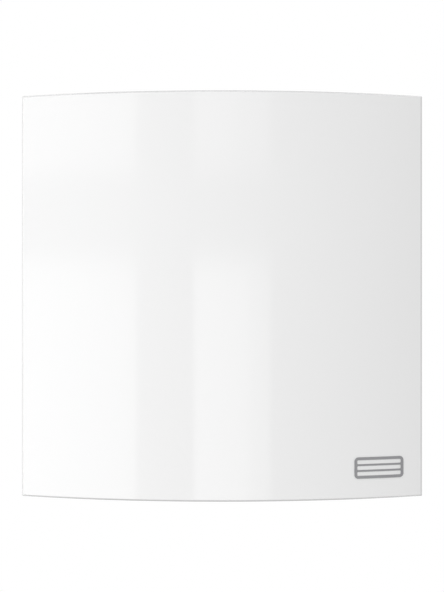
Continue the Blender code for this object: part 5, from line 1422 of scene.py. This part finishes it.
# --- electronics ------------------------------------------------------------------------------------------
class VENTILATOR_OT_electronics(bpy.types.Operator):
    """Builds the control board with its components, the terminals and the cable saddle"""

    bl_idname = "ventilator.electronics"
    bl_label = "Electronics"

    def execute(self, context):
        self.board()
        self.terminals()
        self.saddle()
        return {"FINISHED"}

    @staticmethod
    def board():
        thick, middle = 1.6 * MM, (0, BOARD_Y, BOARD_OUT)
        board = plate(50 * MM, 11.5 * MM, 0, thick, 1.5 * MM, 5)
        drills = [moved(bar(1.6 * MM, -MM, 3 * MM, 24), (x, y, 0)) for x, y in four(*BOARD_DRILLS)]
        keep("circuit_board", moved(cut(board, *drills), middle), FINISHES["board_green"], "control_board")

        def part(name, shapes, finish, slot):
            keep(name, moved(together(shapes), middle), FINISHES[finish], "control_board")

        def box(low, high, width=0.4 * MM):
            low, high = ([value * MM for value in corner] for corner in (low, high))
            return rounded(block(low, high), width, 3, 60)

        core = join(box((-47, -8, 4), (-29, 8, 9)), box((-45, -8, 4), (-31, 8, 16)))
        part("transformer_core", [core], "laminations", "steel")
        coil = [box((-46, -5, 9.2), (-45.2, 5, 16)), box((-30.8, -5, 9.2), (-30, 5, 16))]
        part("transformer_coil", coil, "copper", "copper")
        feet = [box((x, -7, 1.6), (x + 3, 7, 3.8)) for x in (-46, -33)]
        housings = [box((-24, -2, 1.6), (-12, 8, 14.6), 0.8 * MM), box((6, 0, 1.8), (13, 7, 2.6), 0.15 * MM)]
        part("board_housings", [*feet, *housings], "black_plastic", "black_plastic")
        pins = []
        for number in range(4):
            for side in BOTH:
                y, x = 1 + number * 1.6, 9.5 + side * 3.9
                pins.append(
                    block([v * MM for v in (x - 0.5, y, 1.6)], [v * MM for v in (x + 0.5, y + 0.5, 2.0)])
                )
        pins += [box((x, 0.4, 1.6), (x + 0.7, 1.1, 8.4), 0.1 * MM) for x in (32, 35, 38, 41)]
        part("board_pins", pins, "steel", "steel")
        shell = cut(
            box((30, -3, 1.6), (44, 5, 9.6)), block([31 * MM, -2 * MM, 3 * MM], [43 * MM, 4 * MM, 20 * MM])
        )
        part("board_socket", [shell], "satin_white", "satin_white")
        can = [(0, 1.6), (4, 1.6), (4, 12.2), (3.8, 12.7), (3.7, 13.1), (3.9, 13.4), (3.7, 13.6), (0, 13.6)]
        cans = []
        for x in (-5 * MM, 24 * MM):
            cross = [
                block((-a, -b, 13.4 * MM), (a, b, 14 * MM))
                for a, b in ((3 * MM, 0.2 * MM), (0.2 * MM, 3 * MM))
            ]
            cans.append(moved(cut(lathe([(r * MM, z * MM) for r, z in can], 48), *cross), (x, 5 * MM, 0)))
        part("board_capacitors", cans, "capacitor_blue", "magnet")
        low, high = wall_box("control_board")
        face = low.y - BOARD_Y
        top = CONTROL_OUT - BOARD_OUT
        key = rounded(
            block((17 * MM, face, 1.6 * MM), (23 * MM, face + 4.4 * MM, top + 3 * MM)), 0.3 * MM, 2, 60
        )
        part("board_switch", [key], "black_plastic", "black_plastic")

    @staticmethod
    def terminals():
        low, high = wall_box("terminal_block")
        middle = (low + high) / 2
        body = rounded(block(low, high), 0.6 * MM, 3, 60)
        pitch = (high.x - low.x) / 3
        tools, screws = [], []
        for number in (-1, 0, 1):
            x = middle.x + number * pitch
            tools.append(moved(bar(2.2 * MM, high.z - 4 * MM, high.z + MM), (x, middle.y - 2 * MM, 0)))
            tools.append(
                block(
                    (x - 2 * MM, high.y - 5 * MM, low.z + 3 * MM), (x + 2 * MM, high.y + MM, low.z + 8 * MM)
                )
            )
            head = rounded(bar(1.9 * MM, high.z - 3.8 * MM, high.z - 2 * MM), 0.2 * MM, 2, 60)
            slot = block((-2 * MM, -0.25 * MM, high.z - 2.8 * MM), (2 * MM, 0.25 * MM, high.z))
            screws.append(moved(moved(cut(head, slot), turn=(0, 0, 0.5 + number)), (x, middle.y - 2 * MM, 0)))
        for number in (-0.5, 0.5):
            x = middle.x + number * pitch
            tools.append(
                block((x - 0.4 * MM, low.y - MM, high.z - 5 * MM), (x + 0.4 * MM, high.y + MM, high.z + MM))
            )
        keep("terminal_body", cut(body, *tools), FINISHES["satin_white"], "terminal_block")
        keep("terminal_screws", together(screws), FINISHES["steel"], "terminal_block")

    @staticmethod
    def saddle():
        low, high = wall_box("cable_clamp")
        middle = (low + high) / 2
        body = rounded(block(low, high), 1.2 * MM, 4, 60)
        tools = [moved(bar(4.5 * MM, -10 * MM, 10 * MM, 48), (middle.x, middle.y, low.z + 3 * MM), UPWARDS)]
        screws = []
        for side in BOTH:
            x = middle.x + side * 6.9 * MM
            tools.append(moved(bar(1.7 * MM, high.z - MM, high.z + MM), (x, middle.y, 0)))
            head = rounded(bar(1.5 * MM, high.z - 0.9 * MM, high.z - 0.1 * MM, 24), 0.2 * MM, 2, 60)
            slot = block((-2 * MM, -0.2 * MM, high.z - 0.5 * MM), (2 * MM, 0.2 * MM, high.z + MM))
            screws.append(moved(moved(cut(head, slot), turn=(0, 0, 0.8 * side)), (x, middle.y, 0)))
        keep("cable_saddle", cut(body, *tools), FINISHES["grey_plastic"], "cable_clamp")
        keep("saddle_screws", together(screws), FINISHES["steel"], "cable_clamp")


# --- duct and outdoor hood --------------------------------------------------------------------------------
class VENTILATOR_OT_duct(bpy.types.Operator):
    """Builds the duct through the wall"""

    bl_idname = "ventilator.duct"
    bl_label = "Wall Duct"

    def execute(self, context):
        break_edge = 0.5 * MM
        profile = []
        for radius, across in ((DUCT_RADIUS, 1), (DUCT_BORE, -1)):
            inner = radius - across * break_edge
            back = [(inner, DUCT_LOW.z), (radius, DUCT_LOW.z + break_edge)]
            front = [(radius, DUCT_HIGH.z - break_edge), (inner, DUCT_HIGH.z)]
            profile += (back + front)[::across]
        keep("duct_pipe", lathe(profile, 160), FINISHES["duct_white"], "wall_duct")
        return {"FINISHED"}


class VENTILATOR_OT_hood(bpy.types.Operator):
    """Builds the outdoor hood: gasket, base, cowl and grille"""

    bl_idname = "ventilator.hood"
    bl_label = "Outdoor Hood"

    def execute(self, context):
        size = context.scene.ventilator_hood
        half = wall_box("hood_base")[1].x
        holes = [
            moved(bar(2.4 * MM, OUTER_WALL - 20 * MM, OUTER_WALL + MM), (x, y, 0))
            for x, y in four(*HOOD_SCREWS)
        ]
        pad = plate(half, half, OUTER_WALL - 2 * MM, OUTER_WALL, 3 * MM, 5)
        pad = cut(
            pad,
            bar(DUCT_RADIUS + MM, OUTER_WALL - 10 * MM, OUTER_WALL + 10 * MM, 128),
            *[h.copy() for h in holes],
        )
        keep("hood_pad", pad, FINISHES["foam"], "hood_gasket")
        self.base(half, holes)
        self.cowl(size)
        self.grille()
        return {"FINISHED"}

    @staticmethod
    def base(half, holes):
        base = rounded(plate(half, half, HOOD_BACK, HOOD_FACE, 3 * MM, 5), 0.4 * MM, 2, 60)
        parts = [bar(SPIGOT_RADIUS, HOOD_FACE - BITE, HOOD_FACE + 16 * MM, 128)]
        tools = []
        for side in BOTH:
            x = side * (half - 4.3 * MM)
            up, out = HOOD_LUG
            lug = block(
                (x - 4 * MM, up - 4 * MM, HOOD_BACK - 12 * MM), (x + 4 * MM, up + 4 * MM, HOOD_BACK + BITE)
            )
            parts.append(rounded(lug, 0.6 * MM, 3, 60))
            tools.append(moved(bar(1.8 * MM, -12 * MM, 12 * MM), (x, up, out), ALONG_X))
        tools.append(bar(SPIGOT_BORE, HOOD_BACK - 10 * MM, HOOD_FACE + 32 * MM, 128))
        keep("hood_plate", cut(join(base, *parts), *tools, *holes), FINISHES["cowl_white"], "hood_base")

    @staticmethod
    def cowl(size):
        """Its side is drawn in (distance out, up)."""
        start = 2.3 * MM
        end = start + 50 * MM
        wall, edge = COWL_WALL, size.edge

        def shell(grow, behind, below, rounding):
            w = COWL_HALF - grow
            lean = math.atan2(36 * MM, 94 * MM)
            slip = grow * math.tan(lean / 2)
            over = grow * math.tan((math.pi / 2 - lean) / 2)
            outline = [
                (behind, below),
                (end - grow, below),
                (end - grow, -14 * MM - slip),
                (start + 14 * MM - over, COWL_HALF - grow),
                (behind, COWL_HALF - grow),
            ]
            solid = cut_out(outline, -w, w)
            rounded(solid, rounding, 5, 15, lambda e: max(v.co.x for v in e.verts) > start)
            return moved(solid, turn=ALONG_X)

        outer = shell(0, start - 20 * MM, -COWL_HALF - 20 * MM, edge)
        inner = shell(wall, start - 30 * MM, -COWL_HALF - 60 * MM, edge - 1.2 * MM)
        far = 3 * COWL_HALF
        tools = [
            block((-far, -far, -start), (far, far, far)), block((-far, -far, -far), (far, -COWL_HALF, far))
        ]
        outer = cut(outer, *tools)
        for side in BOTH:
            up, out = HOOD_LUG
            drill = hole(1.8 * MM, COWL_HALF - wall, COWL_HALF, 0.2 * MM)
            drill = moved(drill, (0, up, out - OUTER_WALL), (0, side * math.pi / 2, 0))
            outer = cut(outer, drill)
        outer = cut(outer, inner)
        keep("cowl_shell", moved(outer, (0, 0, OUTER_WALL)), FINISHES["cowl_white"], "hood_cowl", angle=28)

    @staticmethod
    def grille():
        low, high = wall_box("hood_grille")
        frame = rounded(block(low, high), 0.4 * MM, 2, 60)
        rim, rib = 3 * MM, 2 * MM
        pitch = (high.z - low.z - 2 * rim + rib) / 5
        slots = []
        for row in range(5):
            start = low.z + rim + row * pitch
            for x0, x1 in ((low.x + rim, -rib / 2), (rib / 2, high.x - rim)):
                half_x, half_z = (x1 - x0) / 2, (pitch - rib) / 2
                slot = moved(plate(half_x, half_z, -10 * MM, 10 * MM, 1.2 * MM, 5), turn=DOWNWARDS)
                slots.append(moved(slot, ((x0 + x1) / 2, (low.y + high.y) / 2, start + half_z)))
        keep("hood_bars", cut(frame, *slots), FINISHES["grey_plastic"], "hood_grille")


# --- studio -----------------------------------------------------------------------------------------------
class VENTILATOR_OT_studio(bpy.types.Operator):
    """Sets up the floor, the lights and the camera"""

    bl_idname = "ventilator.studio"
    bl_label = "Studio"

    def execute(self, context):
        scene = context.scene
        size = scene.ventilator_studio
        scene.view_settings.view_transform = "Standard"
        self.surroundings(scene, size)
        self.floor(size)
        for card in CARDS:
            self.card(scene, *card)
        self.camera(scene, size)
        return {"FINISHED"}

    @staticmethod
    def surroundings(scene, size):
        """Soft light from all round, more of it from the front and above. The camera sees plain white."""
        world = bpy.data.worlds.new("studio")
        scene.world = world
        world.use_nodes = True
        tree = world.node_tree
        tree.nodes.clear()
        output = tree.nodes.new("ShaderNodeOutputWorld")
        mix = tree.nodes.new("ShaderNodeMixShader")
        seen = tree.nodes.new("ShaderNodeBackground")
        seen.inputs["Color"].default_value = (1, 1, 1, 1)
        around = tree.nodes.new("ShaderNodeBackground")
        path = tree.nodes.new("ShaderNodeLightPath")
        direction = tree.nodes.new("ShaderNodeTexCoord")
        parts = tree.nodes.new("ShaderNodeSeparateXYZ")
        tree.links.new(direction.outputs["Generated"], parts.inputs[0])
        level = None
        for axis, start, end, share in ((1, -0.3, -1.0, size.from_front), (2, -0.2, 0.9, size.from_above)):
            fade = tree.nodes.new("ShaderNodeMapRange")
            fade.interpolation_type = "SMOOTHSTEP"
            fade.inputs["From Min"].default_value = start
            fade.inputs["From Max"].default_value = end
            fade.inputs["To Min"].default_value = 0.0
            fade.inputs["To Max"].default_value = share
            tree.links.new(parts.outputs[axis], fade.inputs["Value"])
            total = tree.nodes.new("ShaderNodeMath")
            tree.links.new(fade.outputs[0], total.inputs[0])
            if level:
                tree.links.new(level, total.inputs[1])
            else:
                total.inputs[1].default_value = size.from_everywhere
            level = total.outputs[0]
        tree.links.new(level, around.inputs["Strength"])
        around.inputs["Color"].default_value = (1, 1, 1, 1)
        tree.links.new(path.outputs["Is Camera Ray"], mix.inputs["Fac"])
        tree.links.new(around.outputs[0], mix.inputs[1])
        tree.links.new(seen.outputs[0], mix.inputs[2])
        tree.links.new(mix.outputs[0], output.inputs["Surface"])

    @staticmethod
    def floor(size):
        bm = bmesh.new()
        bmesh.ops.create_circle(bm, cap_ends=True, segments=96, radius=size.floor_radius)
        bmesh.ops.translate(bm, vec=(0, 0, -size.floor_drop), verts=bm.verts)
        floor = as_object("studio_floor", bm)
        paint = Finish("studio_floor")
        glow = paint.node("Emission", {}, Color=(1.0, 1.0, 1.0, 1.0), Strength=1.0)
        paint.tree.links.new(glow.socket, paint.output.inputs["Surface"])
        floor.data.materials.append(paint.material)
        floor.visible_diffuse = floor.visible_glossy = floor.visible_transmission = False

    @staticmethod
    def card(scene, name, span, heights, brightness):
        """A glowing card on a wide drum round the panel, between two bearings and two heights."""
        left, right = (math.radians(angle) for angle in span)
        low, high = heights
        bearing, rise = (left + right) / 2, (low + high) / 2
        light = bpy.data.lights.new(name, "AREA")
        light.shape = "RECTANGLE"
        light.size = 2 * DRUM * math.tan((right - left) / 2)
        light.size_y = high - low
        light.energy = brightness * math.pi * light.size * light.size_y
        obj = bpy.data.objects.new(name, light)
        obj.location = (DRUM * math.sin(bearing), -DRUM * math.cos(bearing), rise)
        obj.rotation_euler = (math.pi / 2, 0, bearing)
        obj.visible_camera = False
        scene.collection.objects.link(obj)

    @staticmethod
    def camera(scene, size):
        lens = bpy.data.cameras.new("camera")
        lens.sensor_width = 36
        lens.lens = 36 * size.camera_distance / size.frame_height
        lens.clip_start = 0.01
        obj = bpy.data.objects.new("camera", lens)
        edge_plane = PANEL_APEX - PANEL_BOW
        obj.location = (0, -(edge_plane + size.camera_distance), 0)
        obj.rotation_euler = (math.pi / 2, 0, 0)
        scene.collection.objects.link(obj)
        scene.camera = obj


DRUM = 2.0  # radius of the drum that the cards stand on, in metres
# name, bearings from straight ahead (degrees, right is positive), heights (metres), brightness
CARDS = [
    ("far_left", (-100, -66), (-0.8, 0.9), 1.67),
    ("left_low", (-61, -25), (-0.8, 0.06), 1.2),
    ("left_high", (-61, -25), (0.2, 0.8), 0.94),
    ("middle_low", (-8, 8), (-0.8, 0.06), 1.54),
    ("middle_low_side", (8, 14), (-0.8, 0.06), 1.04),
    ("middle_high", (-8, 4), (0.2, 0.8), 0.8),
    ("middle_high_side", (4, 14), (0.2, 0.8), 0.63),
    ("behind_right", (150, 176), (-0.9, 0.9), 0.46),
    ("behind_left", (-176, -150), (-0.9, 0.9), 0.46),
]


# --- settings ---------------------------------------------------------------------------------------------
class VentilatorPanelSettings(bpy.types.PropertyGroup):
    rim: FloatProperty(
        name="Rim",
        description="Depth of the panel's rim, front to back",
        default=5 * MM,
        min=3 * MM,
        max=10 * MM,
        unit="LENGTH",
    )
    wall: FloatProperty(
        name="Wall",
        description="Thickness of the bowed skin",
        default=2.5 * MM,
        min=MM,
        max=4 * MM,
        unit="LENGTH",
    )
    edge: FloatProperty(
        name="Edge",
        description="Rounding of the outer edges",
        default=0.25 * MM,
        min=0.1 * MM,
        max=0.6 * MM,
        unit="LENGTH",
    )
    slope_width: FloatProperty(
        name="Slope width",
        description="Width of the steep slope round the front",
        default=0.9 * MM,
        min=0.3 * MM,
        max=2 * MM,
        unit="LENGTH",
    )
    slope_depth: FloatProperty(
        name="Slope depth",
        description="Depth of the steep slope round the front",
        default=2.2 * MM,
        min=0.3 * MM,
        max=4 * MM,
        unit="LENGTH",
    )
    segments: IntProperty(
        name="Segments", description="Flat strips across the bow", default=128, min=32, max=256
    )


class VentilatorCasingSettings(bpy.types.PropertyGroup):
    edge: FloatProperty(
        name="Edge",
        description="Rounding of the casing's front edges",
        default=2 * MM,
        min=0.2 * MM,
        max=4 * MM,
        unit="LENGTH",
    )


class VentilatorHoodSettings(bpy.types.PropertyGroup):
    edge: FloatProperty(
        name="Edge",
        description="Rounding of the cowl's edges",
        default=4 * MM,
        min=2 * MM,
        max=6 * MM,
        unit="LENGTH",
    )


class VentilatorFanSettings(bpy.types.PropertyGroup):
    blades: IntProperty(name="Blades", description="Number of fan blades", default=7, min=3, max=11)
    root_chord: FloatProperty(
        name="Root chord",
        description="Width of a blade at the hub",
        default=26 * MM,
        min=5 * MM,
        max=40 * MM,
        unit="LENGTH",
    )
    tip_chord: FloatProperty(
        name="Tip chord",
        description="Width of a blade at its tip",
        default=36 * MM,
        min=5 * MM,
        max=50 * MM,
        unit="LENGTH",
    )
    root_pitch: FloatProperty(
        name="Root pitch",
        description="Slope of a blade at the hub",
        default=math.radians(48),
        min=0,
        max=math.pi / 2,
        unit="ROTATION",
    )
    tip_pitch: FloatProperty(
        name="Tip pitch",
        description="Slope of a blade at its tip",
        default=math.radians(27),
        min=0,
        max=math.pi / 2,
        unit="ROTATION",
    )


class VentilatorRegeneratorSettings(bpy.types.PropertyGroup):
    channel_pitch: FloatProperty(
        name="Channel pitch",
        description="From one air channel to the next",
        default=5.5 * MM,
        min=3 * MM,
        max=12 * MM,
        unit="LENGTH",
    )
    channel_wall: FloatProperty(
        name="Channel wall",
        description="Wall between two air channels",
        default=0.9 * MM,
        min=0.4 * MM,
        max=3 * MM,
        unit="LENGTH",
    )


class VentilatorFinishSettings(bpy.types.PropertyGroup):
    panel_white: FloatVectorProperty(
        name="Panel",
        description="Colour of the front panel",
        subtype="COLOR",
        default=(0.87, 0.87, 0.87),
        min=0,
        max=1,
    )
    casing_white: FloatVectorProperty(
        name="Casing",
        description="Colour of the casing, plate and shutter",
        subtype="COLOR",
        default=(0.80, 0.80, 0.79),
        min=0,
        max=1,
    )
    print_grey: FloatVectorProperty(
        name="Print",
        description="Colour of the printed sign",
        subtype="COLOR",
        default=(0.30, 0.30, 0.31),
        min=0,
        max=1,
    )
    panel_roughness: FloatProperty(
        name="Gloss",
        description="Roughness of the panel's polished skin",
        default=0.085,
        min=0,
        max=1,
        subtype="FACTOR",
    )


class VentilatorStudioSettings(bpy.types.PropertyGroup):
    camera_distance: FloatProperty(
        name="Camera distance",
        description="From the camera to the panel's side edges",
        default=0.852,
        min=0.3,
        max=5,
        unit="LENGTH",
    )
    frame_height: FloatProperty(
        name="Frame height",
        description="Height of the view at the panel's side edges",
        default=0.2954,
        min=0.1,
        max=2,
        unit="LENGTH",
    )
    floor_drop: FloatProperty(
        name="Floor drop",
        description="Depth of the floor below the duct's axis",
        default=2.3,
        min=0.12,
        max=5,
        unit="LENGTH",
    )
    floor_radius: FloatProperty(
        name="Floor radius",
        description="Radius of the round floor",
        default=4.0,
        min=1,
        max=20,
        unit="LENGTH",
    )
    from_everywhere: FloatProperty(
        name="All round", description="Soft light from every side", default=0.547, min=0, max=5
    )
    from_front: FloatProperty(
        name="From the front", description="How much more comes from the front", default=0.267, min=0, max=5
    )
    from_above: FloatProperty(
        name="From above", description="How much more comes from above", default=0.25, min=0, max=5
    )


SETTINGS = {
    "ventilator_panel": VentilatorPanelSettings,
    "ventilator_casing": VentilatorCasingSettings,
    "ventilator_fan": VentilatorFanSettings,
    "ventilator_regenerator": VentilatorRegeneratorSettings,
    "ventilator_hood": VentilatorHoodSettings,
    "ventilator_finishes": VentilatorFinishSettings,
    "ventilator_studio": VentilatorStudioSettings,
}

OPERATORS = [
    VENTILATOR_OT_front_panel,
    VENTILATOR_OT_sign,
    VENTILATOR_OT_casing,
    VENTILATOR_OT_sockets,
    VENTILATOR_OT_wall_plate,
    VENTILATOR_OT_screws,
    VENTILATOR_OT_shutter,
    VENTILATOR_OT_controls,
    VENTILATOR_OT_electronics,
    VENTILATOR_OT_fan,
    VENTILATOR_OT_filters,
    VENTILATOR_OT_regenerator,
    VENTILATOR_OT_duct,
    VENTILATOR_OT_hood,
    VENTILATOR_OT_studio,
]


class VENTILATOR_PT_sidebar(bpy.types.Panel):
    bl_label = "Ventilator"
    bl_idname = "VENTILATOR_PT_sidebar"
    bl_space_type = "VIEW_3D"
    bl_region_type = "UI"
    bl_category = "Ventilator"

    def draw(self, context):
        for name, group in SETTINGS.items():
            settings = getattr(context.scene, name)
            for prop in group.__annotations__:
                self.layout.prop(settings, prop)
        for operator in OPERATORS:
            self.layout.operator(operator.bl_idname)


def register():
    for name, group in SETTINGS.items():
        bpy.utils.register_class(group)
        setattr(bpy.types.Scene, name, PointerProperty(type=group))
    for operator in OPERATORS:
        bpy.utils.register_class(operator)
    bpy.utils.register_class(VENTILATOR_PT_sidebar)


def unregister():
    bpy.utils.unregister_class(VENTILATOR_PT_sidebar)
    for operator in reversed(OPERATORS):
        bpy.utils.unregister_class(operator)
    for name, group in SETTINGS.items():
        delattr(bpy.types.Scene, name)
        bpy.utils.unregister_class(group)


def main():
    register()
    make_finishes(bpy.context.scene.ventilator_finishes)
    for node in FRAME["nodes"].values():
        finish = FINISHES[SLOTS[node["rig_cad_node"]]]
        if not node.material_slots:
            node.data.materials.append(finish)
        for slot in node.material_slots:
            slot.material = finish
    for operator in OPERATORS:
        group, name = operator.bl_idname.split(".")
        getattr(getattr(bpy.ops, group), name)()


if __name__ == "__main__":
    main()
